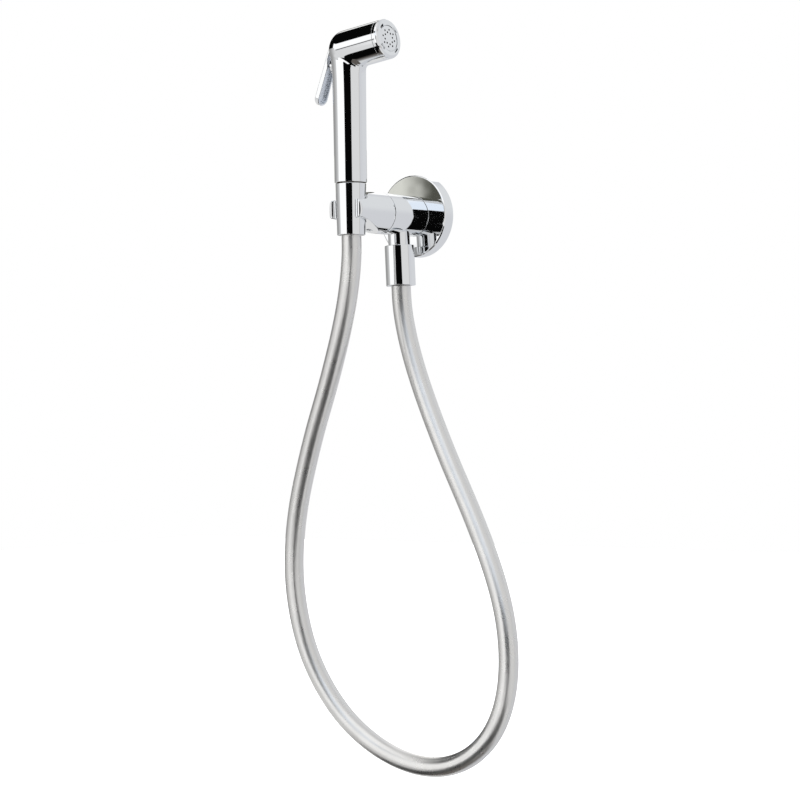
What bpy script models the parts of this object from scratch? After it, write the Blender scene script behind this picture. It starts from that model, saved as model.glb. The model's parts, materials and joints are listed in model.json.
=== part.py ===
"""Wall-hung trigger spray set: wall outlet with a fork holder, hose and hand spray.

Metres, +Z up. The origin is the middle of the wall outlet on the wall plane (Y = 0).
The room is on the -Y side, the outlet arm points along -Y, the spray head along +X.
"""
import math

import bmesh
import bpy
import numpy as np
from mathutils import Vector

MM = 0.001
GAP = 0.3 * MM

UP = Vector((0, 0, 1))
DOWN = Vector((0, 0, -1))
FRONT = Vector((0, -1, 0))
RIGHT = Vector((1, 0, 0))
SIDE = Vector((0, 1, 0))

# Wall outlet, measured from the wall along FRONT
FLANGE_R = 31.9 * MM
FLANGE_DEPTH = 11.0 * MM
FLANGE_WALL = 1.6 * MM
FLANGE_RIM_WALL = 2.3 * MM
FLANGE_BEVEL = 0.8 * MM
TAIL_R = 13.0 * MM
ARM_R = 15.8 * MM
ARM_START = FLANGE_DEPTH + GAP
ARM_END = 51.4 * MM
EDGE = 0.4 * MM
POST_R = 7.5 * MM
POST_END = 68.0 * MM
SOCKET_R = 10.6 * MM
SOCKET_START = 1.0 * MM
SOCKET_END = 19.4 * MM
WATERWAY_R = 7.0 * MM
WATERWAY_END = 36.0 * MM

# G1/2 thread: the crest radius, smooth here
THREAD_R = 10.3 * MM
NIPPLE_BACK = -18.0 * MM
NIPPLE_FRONT = 16.0 * MM
NIPPLE_BORE_R = 6.5 * MM

# Downward outlet, measured down from the arm's axis; the arm sits turned a little on its thread
OUTLET_Y = -28.9 * MM
OUTLET_LEAN = math.radians(2.2)
NECK_R = 8.4 * MM
NECK_TOP = 10.0 * MM
NECK_END = 24.2 * MM
OUTLET_THREAD_R = 10.2 * MM
OUTLET_END = 36.0 * MM
OUTLET_BORE_R = 5.0 * MM
VALVE_POCKET_R = 7.2 * MM
VALVE_POCKET_START = 25.0 * MM
NUT_R = 11.4 * MM
NUT_TOP = 23.9 * MM
NUT_END = 55.0 * MM
NUT_SHOULDER = 40.5 * MM
NUT_BORE_R = 10.5 * MM
FERRULE_HOLE_R = 8.1 * MM

# Hose
HOSE_R = 7.5 * MM
FERRULE_R = 7.8 * MM
FERRULE_BORE_R = 4.0 * MM
HOSE_STEP = 26.0 * MM
HOSE_LEAD = 8.0 * MM

# Hand spray: its axis is vertical, through this point of the fork
SPRAY_Y = -86.5 * MM
CONE_TOP = 20.5 * MM
CONE_BOTTOM = -18.5 * MM
CONE_TOP_R = 11.64 * MM
CONE_BOTTOM_R = 10.71 * MM
CONE_THREAD_R = 10.2 * MM
CONE_SHOULDER = 6.0 * MM
TAIL_THREAD_R = 9.9 * MM
TAIL_BOTTOM = 10.5 * MM
TAIL_TOP = 36.0 * MM
TAIL_INSERT_R = 10.6 * MM
TAIL_BORE_R = 6.0 * MM
ORING_Z = 30.2 * MM
HANDLE_BOTTOM = 21.2 * MM
HANDLE_BORE_R = 9.3 * MM
HANDLE_BORE_TOP = 100.0 * MM

# Spray head: its axis leans up from +X and starts in the handle's axis
HEAD_Z = 121.7 * MM
HEAD_TILT = math.radians(7.0)
HEAD_R = 15.2 * MM
ELBOW_R = 15.3 * MM
HEAD_END = 34.0 * MM
NOSE_R = 13.0 * MM
NOSE_END = 34.9 * MM
HEAD_BORE_R = 4.5 * MM
CHAMBER_R = 10.0 * MM
PLATE_POCKET_R = 11.2 * MM
PLATE_LEDGE = 28.2 * MM
FACE_RING_END = 38.9 * MM
FACE_HOLE_R = 10.0 * MM
SPRAY_HOLE_R = 0.55 * MM
SPRAY_RINGS = ((4.56 * MM, 10.0), (6.71 * MM, 32.5))
HOLES_PER_RING = 8

# Valve: a stem across the top of the handle, pushed by the lever
VALVE_Z = 110.0 * MM
VALVE_BORE_R = 5.2 * MM
CARTRIDGE_R = 4.9 * MM
VALVE_BORE_END = 10.5 * MM
BOSS_R = 7.0 * MM
BOSS_END = 13.6 * MM
STEM_R = 1.6 * MM
STEM_TIP = 19.3 * MM

# Trigger lever: u runs down the arm from the pivot, w towards the handle
PIVOT_X = -11.5 * MM
PIVOT_Z = 121.5 * MM
LEVER_LEAN = math.radians(20.4)
LEVER_OUTER = -5.3 * MM
LEVER_FLOOR = -3.7 * MM
LEVER_RIM = -1.3 * MM
LEVER_TIP = 42.9 * MM
LEVER_TOP = 0.0 * MM
LEVER_POCKET_TOP = 5.5 * MM
LEVER_TOP_HALF = 4.6 * MM
LEVER_HALF = 5.5 * MM
LEVER_NECK_HALF = 4.0 * MM
LEVER_WALL = 1.5 * MM
KNUCKLE_R = 2.6 * MM
PIN_R = 1.0 * MM
SLOT_HALF = 4.4 * MM

# Holder fork: its side outline as (along FRONT, height) from the arm's end to the prong tips
FORK_START = ARM_END + GAP
FORK_TIP = 94.4 * MM
FORK_TOP_LINE = ((50.0, 17.0), (62.0, 15.6), (70.0, 14.9), (75.5, 14.0), (78.5, 12.4), (81.0, 10.0),
                 (84.0, 8.9), (92.8, 8.4), (94.0, 7.8), (94.4, 6.6))
FORK_BOTTOM_LINE = ((94.4, -4.2), (94.0, -5.3), (92.8, -5.9), (86.0, -6.6), (80.0, -8.3), (74.0, -10.4),
                    (67.0, -12.7), (62.0, -14.4), (57.5, -16.0), (54.0, -17.0), (50.0, -17.0))
FORK_MOUTH_HALF = 8.4 * MM
SCREW_Y = -64.6 * MM
SCREW_R = 2.0 * MM

# Hose route, hand-picked points of its centre line in millimetres, from the hand spray to the outlet
HOSE_ROUTE = (
    (0, -86.5, -18.7), (0, -86.5, -30), (-1.5, -86.2, -45), (-5.3, -85.4, -64), (-12.3, -84.2, -88),
    (-21.4, -82.7, -112.5), (-32, -81, -138), (-43.3, -79.5, -164), (-54, -77.7, -191), (-63.8, -75.9, -220),
    (-70.6, -73.9, -249), (-73.6, -71.7, -279), (-71.4, -69.4, -309), (-64, -67, -338),
    (-50.5, -64.6, -364.5), (-31.2, -62.3, -387.8), (-7.5, -60, -405.3), (20, -57.8, -416.8),
    (50, -55.7, -420), (78.7, -53.4, -411.2), (100, -51, -390.5), (110.5, -48.6, -362),
    (111.5, -46.2, -332), (106.2, -43.9, -302.5), (96, -41.7, -274), (83, -39.5, -247), (68.3, -37.4, -220),
    (53.5, -35.5, -194), (39.5, -33.6, -168), (26.2, -31.9, -141), (14.4, -30.4, -113), (6, -29.3, -86),
    (2.8, -28.9, -68), (2.12, -28.9, -55.3),
)

ROUND = 48
SMALL = 24


def clear_scene():
    for old in list(bpy.data.objects):
        bpy.data.objects.remove(old, do_unlink=True)


def material(name, colour, metallic, roughness):
    mat = bpy.data.materials.new(name)
    mat.use_nodes = True
    shader = mat.node_tree.nodes["Principled BSDF"]
    shader.inputs["Base Color"].default_value = (*colour, 1.0)
    shader.inputs["Metallic"].default_value = metallic
    shader.inputs["Roughness"].default_value = roughness
    return mat


def chrome(name):
    return material(name + "_chrome", (0.85, 0.86, 0.88), 1.0, 0.06)


def brass(name):
    return material(name + "_brass", (0.72, 0.55, 0.28), 1.0, 0.28)


def steel(name):
    return material(name + "_steel", (0.60, 0.61, 0.63), 1.0, 0.25)


def rubber(name):
    return material(name + "_rubber", (0.03, 0.03, 0.03), 0.0, 0.75)


def plastic(name):
    return material(name + "_plastic", (0.86, 0.87, 0.87), 0.0, 0.45)


def new_object(name, bm):
    bmesh.ops.remove_doubles(bm, verts=bm.verts, dist=1e-7)
    bmesh.ops.recalc_face_normals(bm, faces=bm.faces)
    mesh = bpy.data.meshes.new(name)
    bm.to_mesh(mesh)
    bm.free()
    mesh.shade_smooth()
    mesh.set_sharp_from_angle(angle=math.radians(35))
    obj = bpy.data.objects.new(name, mesh)
    bpy.context.collection.objects.link(obj)
    return obj


def finish_piece(obj, make_material, parent=None):
    obj.data.materials.append(make_material(obj.name))
    if parent:
        obj.location -= parent.location
        obj.parent = parent
    return obj


def lathe(name, profile, at, along, steps=ROUND):
    """Turn a profile of (radius, height) points round the line through at, along a direction.

    A profile that starts and ends on the axis is open, any other closes on itself."""
    bm = bmesh.new()
    verts = [bm.verts.new((r, 0, h)) for r, h in profile]
    on_axis = profile[0][0] == 0 and profile[-1][0] == 0
    ends = verts[1:] if on_axis else verts[1:] + verts[:1]
    edges = [bm.edges.new(pair) for pair in zip(verts, ends)]
    bmesh.ops.spin(bm, geom=verts + edges, cent=(0, 0, 0), axis=(0, 0, 1), dvec=(0, 0, 0),
                   angle=math.tau, steps=steps, use_merge=True, use_duplicate=False)
    obj = new_object(name, bm)
    obj.location = at
    obj.rotation_euler = along.to_track_quat("Z", "Y").to_euler()
    return obj


def rod(name, radius, start, end, at, along, steps=SMALL):
    """A plain cylinder between two heights on the line through at."""
    return lathe(name, [(0, start), (radius, start), (radius, end), (0, end)], at, along, steps)


def prism(name, outline, half, across):
    """Extrude an outline of Vector points by half each way along the unit vector across."""
    bm = bmesh.new()
    face = bm.faces.new([bm.verts.new(p - across * half) for p in outline])
    made = bmesh.ops.extrude_face_region(bm, geom=[face])["geom"]
    moved = [v for v in made if isinstance(v, bmesh.types.BMVert)]
    bmesh.ops.translate(bm, verts=moved, vec=across * (2 * half))
    return new_object(name, bm)


def block(name, low, high):
    bm = bmesh.new()
    bmesh.ops.create_cube(bm, size=1.0)
    size = [b - a for a, b in zip(low, high)]
    middle = [(a + b) / 2 for a, b in zip(low, high)]
    bmesh.ops.scale(bm, vec=size, verts=bm.verts)
    bmesh.ops.translate(bm, vec=middle, verts=bm.verts)
    return new_object(name, bm)


def combine(obj, tool, operation):
    """Join tool to obj, or cut it away, with a Boolean that stays on obj."""
    tool.name = f"{obj.name}_{operation.lower()}_{tool.name}"
    tool.hide_render = True
    tool.display_type = "WIRE"
    boolean = obj.modifiers.new(tool.name, "BOOLEAN")
    boolean.operation = operation
    boolean.solver = "EXACT"
    boolean.object = tool


def join(obj, *tools):
    for tool in tools:
        combine(obj, tool, "UNION")


def cut(obj, *tools):
    for tool in tools:
        combine(obj, tool, "DIFFERENCE")


def tube(name, points, radius, sides_level):
    """A solid tube along a list of points."""
    curve = bpy.data.curves.new(name, "CURVE")
    curve.dimensions = "3D"
    spline = curve.splines.new("POLY")
    spline.points.add(len(points) - 1)
    for spot, point in zip(spline.points, points):
        spot.co = (*point, 1.0)
    curve.bevel_depth = radius
    curve.bevel_resolution = sides_level
    curve.use_fill_caps = True
    obj = bpy.data.objects.new(name, curve)
    bpy.context.collection.objects.link(obj)
    return obj


def spring(name, at, along, start, end, radius, wire, turns, parent):
    """A helical spring round the line through at; prints the least gap between its turns."""
    per_turn = 10
    steps = round(turns * per_turn)
    turn = along.to_track_quat("Z", "Y")
    points = []
    for i in range(steps + 1):
        angle = math.tau * i / per_turn
        height = start + wire + (end - start - 2 * wire) * i / steps
        points.append(at + turn @ Vector((radius * math.cos(angle), radius * math.sin(angle), height)))
    pitch = (end - start - 2 * wire) / turns
    print(f"{name}: least gap between turns {(pitch - 2 * wire) / MM:.2f} mm")
    obj = tube(name, [p - parent.location for p in points], wire, 1)
    obj.parent = parent
    obj.data.materials.append(steel(name))
    return obj


def torus_ring(name, at, along, height, middle, wire, make_material, parent):
    """An O-ring: a circle turned round the axis."""
    sides = 8
    angles = [math.tau * i / sides for i in range(sides)]
    profile = [(middle + wire * math.cos(a), height + wire * math.sin(a)) for a in angles]
    return finish_piece(lathe(name, profile, at, along, SMALL), make_material, parent)


def joint_empty(name, location):
    empty = bpy.data.objects.new(name, None)
    empty.location = location
    empty.empty_display_size = 0.01
    bpy.context.collection.objects.link(empty)
    return empty


def smooth_route(route, step, lead):
    """Points every step or so along the natural cubic curve through the route.

    One more point at the lead's length from each end keeps the ends square to what they meet."""
    knots = np.array(route, float) * MM
    at = np.concatenate([[0], np.cumsum(np.linalg.norm(np.diff(knots, axis=0), axis=1))])
    span = np.diff(at)
    count = len(knots)
    system = np.eye(count)
    right = np.zeros_like(knots)
    for i in range(1, count - 1):
        system[i, i - 1:i + 2] = span[i - 1], 2 * (span[i - 1] + span[i]), span[i]
        right[i] = 6 * ((knots[i + 1] - knots[i]) / span[i] - (knots[i] - knots[i - 1]) / span[i - 1])
    bend = np.linalg.solve(system, right)
    wanted = np.linspace(0, at[-1], round(at[-1] / step) + 1)
    wanted = np.sort(np.append(wanted, (lead, at[-1] - lead)))
    i = np.clip(np.searchsorted(at, wanted, side="right") - 1, 0, count - 2)
    h = span[i][:, None]
    a = (at[i + 1] - wanted)[:, None]
    b = (wanted - at[i])[:, None]
    cubic = (bend[i] * a**3 + bend[i + 1] * b**3) / (6 * h)
    linear = (knots[i] / h - bend[i] * h / 6) * a + (knots[i + 1] / h - bend[i + 1] * h / 6) * b
    return cubic + linear


# ---------------------------------------------------------------- wall outlet

WALL = Vector((0, 0, 0))
OUTLET = Vector((0, OUTLET_Y, 0))
OUTLET_DOWN = Vector((math.sin(OUTLET_LEAN), 0, -math.cos(OUTLET_LEAN)))
SPRAY = Vector((0, SPRAY_Y, 0))


def wall_flange():
    rim = FLANGE_R - FLANGE_RIM_WALL
    inside = FLANGE_DEPTH - FLANGE_WALL
    hole = TAIL_R + GAP
    profile = [(FLANGE_R, 0), (FLANGE_R, FLANGE_DEPTH - FLANGE_BEVEL),
               (FLANGE_R - FLANGE_BEVEL, FLANGE_DEPTH), (hole, FLANGE_DEPTH), (hole, inside), (rim, inside),
               (rim, 0)]
    finish_piece(lathe("wall_flange", profile, WALL, FRONT, 64), chrome)


def flange_gasket():
    outer = FLANGE_R - FLANGE_RIM_WALL - GAP
    inner = outer - 4.3 * MM
    top = FLANGE_DEPTH - FLANGE_WALL - GAP
    profile = [(inner, 0), (outer, 0), (outer, top), (inner, top)]
    finish_piece(lathe("flange_gasket", profile, WALL, FRONT), rubber)


def elbow_body():
    profile = [(0, WATERWAY_END), (WATERWAY_R, WATERWAY_END), (WATERWAY_R, SOCKET_END),
               (SOCKET_R, SOCKET_END), (SOCKET_R, SOCKET_START), (TAIL_R, SOCKET_START), (TAIL_R, ARM_START),
               (ARM_R - EDGE, ARM_START), (ARM_R, ARM_START + EDGE), (ARM_R, ARM_END - EDGE),
               (ARM_R - EDGE, ARM_END), (POST_R, ARM_END), (POST_R, POST_END - EDGE),
               (POST_R - EDGE, POST_END), (0, POST_END)]
    body = lathe("elbow_body", profile, WALL, FRONT)
    spigot = [(0, NECK_TOP), (NECK_R, NECK_TOP), (NECK_R, NECK_END), (OUTLET_THREAD_R - EDGE, NECK_END),
              (OUTLET_THREAD_R, NECK_END + EDGE), (OUTLET_THREAD_R, OUTLET_END), (0, OUTLET_END)]
    join(body, lathe("spigot", spigot, OUTLET, OUTLET_DOWN))
    cut(body, rod("outlet_bore", OUTLET_BORE_R, 3 * MM, VALVE_POCKET_START + MM, OUTLET, OUTLET_DOWN),
        rod("valve_pocket", VALVE_POCKET_R, VALVE_POCKET_START, OUTLET_END + MM, OUTLET, OUTLET_DOWN, 32))
    finish_piece(body, chrome)


def inlet_nipple():
    ease = 0.8 * MM
    profile = [(NIPPLE_BORE_R, NIPPLE_BACK), (THREAD_R - ease, NIPPLE_BACK), (THREAD_R, NIPPLE_BACK + ease),
               (THREAD_R, NIPPLE_FRONT - ease), (THREAD_R - ease, NIPPLE_FRONT),
               (NIPPLE_BORE_R, NIPPLE_FRONT)]
    finish_piece(lathe("inlet_nipple", profile, WALL, FRONT, 32), brass)


def inlet_washer():
    start, end = NIPPLE_FRONT + GAP, NIPPLE_FRONT + GAP + 1.6 * MM
    profile = [(6.8 * MM, start), (THREAD_R, start), (THREAD_R, end), (6.8 * MM, end)]
    finish_piece(lathe("inlet_washer", profile, WALL, FRONT, SMALL), rubber)


def drilled(name, obj, at, along, start, end, radius, rings, sides=7):
    """Drill round holes through obj: rings are (circle radius, count, first angle)."""
    side = along.orthogonal().normalized()
    for ring, (circle, count, first) in enumerate(rings):
        for i in range(count):
            spoke = side.copy()
            angle = math.radians(first) + math.tau * i / count
            spoke = spoke * math.cos(angle) + along.cross(side) * math.sin(angle)
            cut(obj, rod(f"{name}{ring}_{i}", radius, start, end, at + spoke * circle, along, sides))


def inlet_strainer():
    start, end = 18.2 * MM, 19.1 * MM
    disc = rod("inlet_strainer", THREAD_R, start, end, WALL, FRONT, 32)
    rings = ((0, 1, 0), (2.4 * MM, 6, 8), (4.8 * MM, 12, 20))
    drilled("mesh", disc, WALL, FRONT, start - MM, end + MM, 0.8 * MM, rings)
    finish_piece(disc, steel)


def cone_radius(z):
    part = (z - CONE_BOTTOM) / (CONE_TOP - CONE_BOTTOM)
    return CONE_BOTTOM_R + (CONE_TOP_R - CONE_BOTTOM_R) * part


def holder_fork():
    fork = rod("holder_fork", ARM_R, FORK_START, FORK_TIP + 2 * MM, WALL, FRONT, ROUND)
    outline = [Vector((0, -y * MM, z * MM)) for y, z in FORK_TOP_LINE + FORK_BOTTOM_LINE]
    combine(fork, prism("side_shape", outline, ARM_R + 2 * MM, RIGHT), "INTERSECT")
    reach = 18 * MM
    seat = [(0, -reach), (cone_radius(-reach) + GAP, -reach), (cone_radius(reach) + GAP, reach), (0, reach)]
    cut(fork, lathe("cone_seat", seat, SPRAY, UP),
        block("mouth", (-FORK_MOUTH_HALF, SPRAY_Y - 14 * MM, -reach), (FORK_MOUTH_HALF, SPRAY_Y, reach)),
        rod("post_socket", POST_R + GAP, FORK_START - MM, POST_END + GAP, WALL, FRONT, 32),
        rod("screw_hole", SCREW_R + GAP, POST_R - 2 * MM, reach, Vector((0, SCREW_Y, 0)), DOWN, 16))
    finish_piece(fork, chrome)


def holder_screw():
    start, end = POST_R + GAP, 12.6 * MM
    screw = rod("holder_screw", SCREW_R, start, end, Vector((0, SCREW_Y, 0)), DOWN, 16)
    cut(screw, rod("hex", 1.15 * MM, end - 1.6 * MM, end + MM, Vector((0, SCREW_Y, 0)), DOWN, 6))
    finish_piece(screw, steel)


# ---------------------------------------------------------------- outlet check valve

def check_valve_body():
    seat_r, guide_r, inner_r = 3.0 * MM, 1.5 * MM, 5.6 * MM
    outer_r = VALVE_POCKET_R - GAP
    top, seat, spider, bottom = 25.3 * MM, 26.8 * MM, 34.6 * MM, 35.9 * MM
    profile = [(seat_r, top), (outer_r, top), (outer_r, bottom), (guide_r, bottom), (guide_r, spider),
               (inner_r, spider), (inner_r, seat), (seat_r, seat)]
    shell = lathe("check_valve_body", profile, OUTLET, OUTLET_DOWN, 32)
    drilled("port", shell, OUTLET, OUTLET_DOWN, spider - MM, bottom + MM, 1.2 * MM, ((3.7 * MM, 6, 0),))
    finish_piece(shell, plastic)


def check_valve_poppet(parent):
    disc, under, tip = 27.1 * MM, 28.3 * MM, 36.4 * MM
    profile = [(0, disc), (4.6 * MM, disc), (4.6 * MM, under), (1.2 * MM, under), (1.2 * MM, tip), (0, tip)]
    finish_piece(lathe("check_valve_poppet", profile, OUTLET, OUTLET_DOWN, SMALL), plastic, parent)


def check_valve_spring(parent):
    spring("check_valve_spring", OUTLET, OUTLET_DOWN, 28.6 * MM, 34.3 * MM, 2.3 * MM, 0.25 * MM, 5, parent)


# ---------------------------------------------------------------- hose and its ends

def outlet_nut():
    profile = [(NUT_BORE_R, NUT_TOP), (NUT_R - EDGE, NUT_TOP), (NUT_R, NUT_TOP + EDGE),
               (NUT_R, NUT_END - EDGE), (NUT_R - EDGE, NUT_END), (FERRULE_HOLE_R, NUT_END),
               (FERRULE_HOLE_R, NUT_SHOULDER), (NUT_BORE_R, NUT_SHOULDER)]
    finish_piece(lathe("outlet_nut", profile, OUTLET, OUTLET_DOWN), chrome)


def outlet_washer():
    start, end = OUTLET_END + GAP, OUTLET_END + GAP + 1.6 * MM
    profile = [(5.2 * MM, start), (10.1 * MM, start), (10.1 * MM, end), (5.2 * MM, end)]
    finish_piece(lathe("outlet_washer", profile, OUTLET, OUTLET_DOWN, SMALL), rubber)


def ferrule(name, collar, collar_r, end, at, along, parent=None):
    """A hose tail: a flat collar that the nut pulls in, and a crimped barrel down to the hose."""
    step = collar + 2.0 * MM
    profile = [(FERRULE_BORE_R, collar), (collar_r, collar), (collar_r, step), (FERRULE_R, step),
               (FERRULE_R, end), (FERRULE_BORE_R, end)]
    finish_piece(lathe(name, profile, at, along, 32), steel, parent)


def hose():
    points = [Vector(p) for p in smooth_route(HOSE_ROUTE, HOSE_STEP, HOSE_LEAD)]
    obj = tube("hose", points, HOSE_R, 4)
    obj.data.materials.append(material("hose_silver", (0.62, 0.63, 0.65), 0.0, 0.3))


def handset_cone(parent):
    profile = [(CONE_THREAD_R, CONE_TOP), (CONE_TOP_R - EDGE, CONE_TOP), (CONE_TOP_R, CONE_TOP - EDGE),
               (CONE_BOTTOM_R, CONE_BOTTOM + EDGE), (CONE_BOTTOM_R - EDGE, CONE_BOTTOM),
               (FERRULE_HOLE_R, CONE_BOTTOM), (FERRULE_HOLE_R, CONE_SHOULDER), (CONE_THREAD_R, CONE_SHOULDER)]
    finish_piece(lathe("handset_cone", profile, SPRAY, UP), chrome, parent)


def handset_washer(parent):
    start, end = 8.6 * MM, 10.2 * MM
    profile = [(5.0 * MM, start), (TAIL_THREAD_R, start), (TAIL_THREAD_R, end), (5.0 * MM, end)]
    finish_piece(lathe("handset_washer", profile, SPRAY, UP, SMALL), rubber, parent)


# ---------------------------------------------------------------- hand spray

HEAD = Vector((0, SPRAY_Y, HEAD_Z))
HEAD_AXIS = Vector((math.cos(HEAD_TILT), 0, math.sin(HEAD_TILT)))
VALVE = Vector((0, SPRAY_Y, VALVE_Z))
PIVOT = Vector((PIVOT_X, SPRAY_Y, PIVOT_Z))


def handset_tail(parent):
    groove = TAIL_INSERT_R - 1.4 * MM
    below, above = ORING_Z - 1.2 * MM, ORING_Z + 1.2 * MM
    profile = [(TAIL_BORE_R, TAIL_BOTTOM), (TAIL_THREAD_R, TAIL_BOTTOM), (TAIL_THREAD_R, CONE_TOP + GAP),
               (TAIL_INSERT_R, CONE_TOP + GAP), (TAIL_INSERT_R, below), (groove, below), (groove, above),
               (TAIL_INSERT_R, above), (TAIL_INSERT_R, TAIL_TOP), (TAIL_BORE_R, TAIL_TOP)]
    finish_piece(lathe("handset_tail", profile, SPRAY, UP, 32), brass, parent)


def handset_body(parent):
    handle = [(0, HANDLE_BOTTOM), (12.0 * MM, HANDLE_BOTTOM), (12.3 * MM, 21.6 * MM), (12.35 * MM, 38 * MM),
              (12.45 * MM, 54 * MM), (12.6 * MM, 72 * MM), (12.75 * MM, 90 * MM), (13.0 * MM, 102 * MM),
              (13.6 * MM, 111 * MM), (14.5 * MM, HEAD_Z), (0, HEAD_Z)]
    body = lathe("handset_body", handle, SPRAY, UP)
    dome = [(ELBOW_R * math.sin(math.pi * i / 16), -ELBOW_R * math.cos(math.pi * i / 16)) for i in range(17)]
    dome[0], dome[-1] = (0, -ELBOW_R), (0, ELBOW_R)
    head = [(0, 0), (HEAD_R, 0), (HEAD_R, HEAD_END), (NOSE_R, HEAD_END), (NOSE_R, NOSE_END), (0, NOSE_END)]
    join(body, lathe("elbow_ball", dome, HEAD, HEAD_AXIS), lathe("head", head, HEAD, HEAD_AXIS),
         rod("boss", BOSS_R, 4 * MM, BOSS_END, VALVE, -RIGHT, 32))
    # the inside is cut from the bottom up: tail bore, handle bore, valve bore, passages, head, lever slot
    tail_hole = TAIL_INSERT_R + GAP
    bore = [(0, 20 * MM), (tail_hole, 20 * MM), (tail_hole, TAIL_TOP + MM), (HANDLE_BORE_R, TAIL_TOP + MM),
            (HANDLE_BORE_R, HANDLE_BORE_TOP), (0, HANDLE_BORE_TOP)]
    nose = [(0, -5 * MM), (HEAD_BORE_R, -5 * MM), (HEAD_BORE_R, 24 * MM), (CHAMBER_R, 24 * MM),
            (CHAMBER_R, PLATE_LEDGE), (PLATE_POCKET_R, PLATE_LEDGE), (PLATE_POCKET_R, NOSE_END + MM),
            (0, NOSE_END + MM)]
    riser = SPRAY + RIGHT * 6.0 * MM
    crossing = SPRAY - RIGHT * 3.9 * MM
    slot_low = (-20 * MM, SPRAY_Y - SLOT_HALF, 117.3 * MM)
    slot_high = (-8.5 * MM, SPRAY_Y + SLOT_HALF, 125.3 * MM)
    cut(body, lathe("handle_bore", bore, SPRAY, UP, 32), lathe("head_bore", nose, HEAD, HEAD_AXIS),
        rod("valve_bore", VALVE_BORE_R, -BOSS_END - MM, VALVE_BORE_END, VALVE, RIGHT, 32),
        rod("riser", 3.0 * MM, HANDLE_BORE_TOP - MM, VALVE_Z, riser, UP, 16),
        rod("crossing", 2.4 * MM, VALVE_Z, HEAD_Z, crossing, UP, 16),
        block("lever_slot", slot_low, slot_high),
        rod("pin_hole", PIN_R + GAP, -6.6 * MM, 6.6 * MM, PIVOT, FRONT, 16))
    finish_piece(body, chrome, parent)


def valve_seat(parent):
    profile = [(3.0 * MM, -0.9 * MM), (CARTRIDGE_R, -0.9 * MM), (CARTRIDGE_R, 0.9 * MM), (3.0 * MM, 0.9 * MM)]
    finish_piece(lathe("valve_seat", profile, VALVE, RIGHT, SMALL), plastic, parent)


def stem_gland(parent):
    pocket_r, pocket = 3.6 * MM, -9.4 * MM
    head, end, inner = -14.9 * MM, -BOSS_END - GAP, -7.0 * MM
    hole = STEM_R + GAP
    profile = [(hole, end), (CARTRIDGE_R, end), (CARTRIDGE_R, inner), (pocket_r, inner), (pocket_r, pocket),
               (hole, pocket)]
    gland = lathe("stem_gland", profile, VALVE, RIGHT, 32)
    hexagon = [(0, head), (3.1 * MM, head), (3.1 * MM, end + 0.5 * MM), (0, end + 0.5 * MM)]
    join(gland, lathe("hexagon", hexagon, VALVE, RIGHT, 6))
    cut(gland, rod("stem_hole", hole, head - MM, inner, VALVE, RIGHT, 16))
    finish_piece(gland, brass, parent)


def valve_stem(parent):
    tip = [(STEM_R * math.sin(a), -STEM_TIP + STEM_R - STEM_R * math.cos(a))
           for a in (math.pi * i / 12 for i in range(7))]
    tip[0] = (0, -STEM_TIP)
    profile = tip + [(STEM_R, 2.7 * MM), (4.2 * MM, 2.7 * MM), (4.2 * MM, 4.0 * MM), (1.5 * MM, 4.0 * MM),
                     (1.5 * MM, 5.6 * MM), (0, 5.6 * MM)]
    finish_piece(lathe("valve_stem", profile, VALVE, RIGHT, 16), brass, parent)


def poppet_washer(parent):
    inner = STEM_R + GAP
    profile = [(inner, 1.2 * MM), (4.2 * MM, 1.2 * MM), (4.2 * MM, 2.4 * MM), (inner, 2.4 * MM)]
    finish_piece(lathe("poppet_washer", profile, VALVE, RIGHT, SMALL), rubber, parent)


def arm_point(u, w, y=0.0):
    """A point of the lever, as a place from the pivot, leaning with the arm."""
    down = Vector((-math.sin(LEVER_LEAN), 0, -math.cos(LEVER_LEAN)))
    inward = Vector((math.cos(LEVER_LEAN), 0, -math.sin(LEVER_LEAN)))
    return down * u + inward * w + Vector((0, y, 0))


def lever_outline(inset, top, w):
    """The arm's outline seen from the handle: straight sides that part downwards, and a round tip."""
    top_half = LEVER_TOP_HALF - inset
    half = LEVER_HALF - inset
    centre = LEVER_TIP - LEVER_HALF
    arc = [math.pi * i / 12 for i in range(13)]
    tip = [arm_point(centre + half * math.sin(a), w, -half * math.cos(a)) for a in arc]
    return [arm_point(top, w, top_half), arm_point(top, w, -top_half)] + tip


def slab(name, outline, depth):
    """Extrude an outline towards the handle."""
    inward = arm_point(0, depth / 2)
    return prism(name, [p + inward for p in outline], depth / 2, inward.normalized())


def trigger_lever(parent):
    lever = slab("trigger_lever", lever_outline(0, LEVER_TOP, LEVER_OUTER), LEVER_RIM - LEVER_OUTER)
    cut(lever, slab("pocket", lever_outline(LEVER_WALL, LEVER_POCKET_TOP, LEVER_FLOOR), 6 * MM))
    wedge = [(-2.0, -3.6), (7.0, -3.6), (14.0, -1.1), (14.0, 3.0), (-2.0, 3.0)]
    cut(lever, prism("wall_taper", [arm_point(u * MM, w * MM) for u, w in wedge], LEVER_HALF + MM, SIDE))
    link = [(0.3, -4.9), (4.8, -4.9), (4.8, -4.2), (3.6, -3.4)]
    knuckle = [(KNUCKLE_R / MM * math.cos(a), KNUCKLE_R / MM * math.sin(a))
               for a in (math.radians(20 + 20 * i) for i in range(9))]
    shape = [arm_point(u * MM, w * MM) for u, w in link + knuckle + [(-2.2, -2.8)]]
    neck = prism("neck", shape, LEVER_NECK_HALF, SIDE)
    join(lever, neck)
    origin = Vector((0, 0, 0))
    cut(lever, rod("pin_hole", PIN_R + GAP, -7 * MM, 7 * MM, origin, FRONT, 16))
    for tool in lever.modifiers:
        tool.object.parent = parent
    lever.data.materials.append(chrome(lever.name))
    lever.parent = parent


def lever_pin(parent):
    finish_piece(rod("lever_pin", PIN_R, -6.3 * MM, 6.3 * MM, PIVOT, FRONT, 16), steel, parent)


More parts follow.
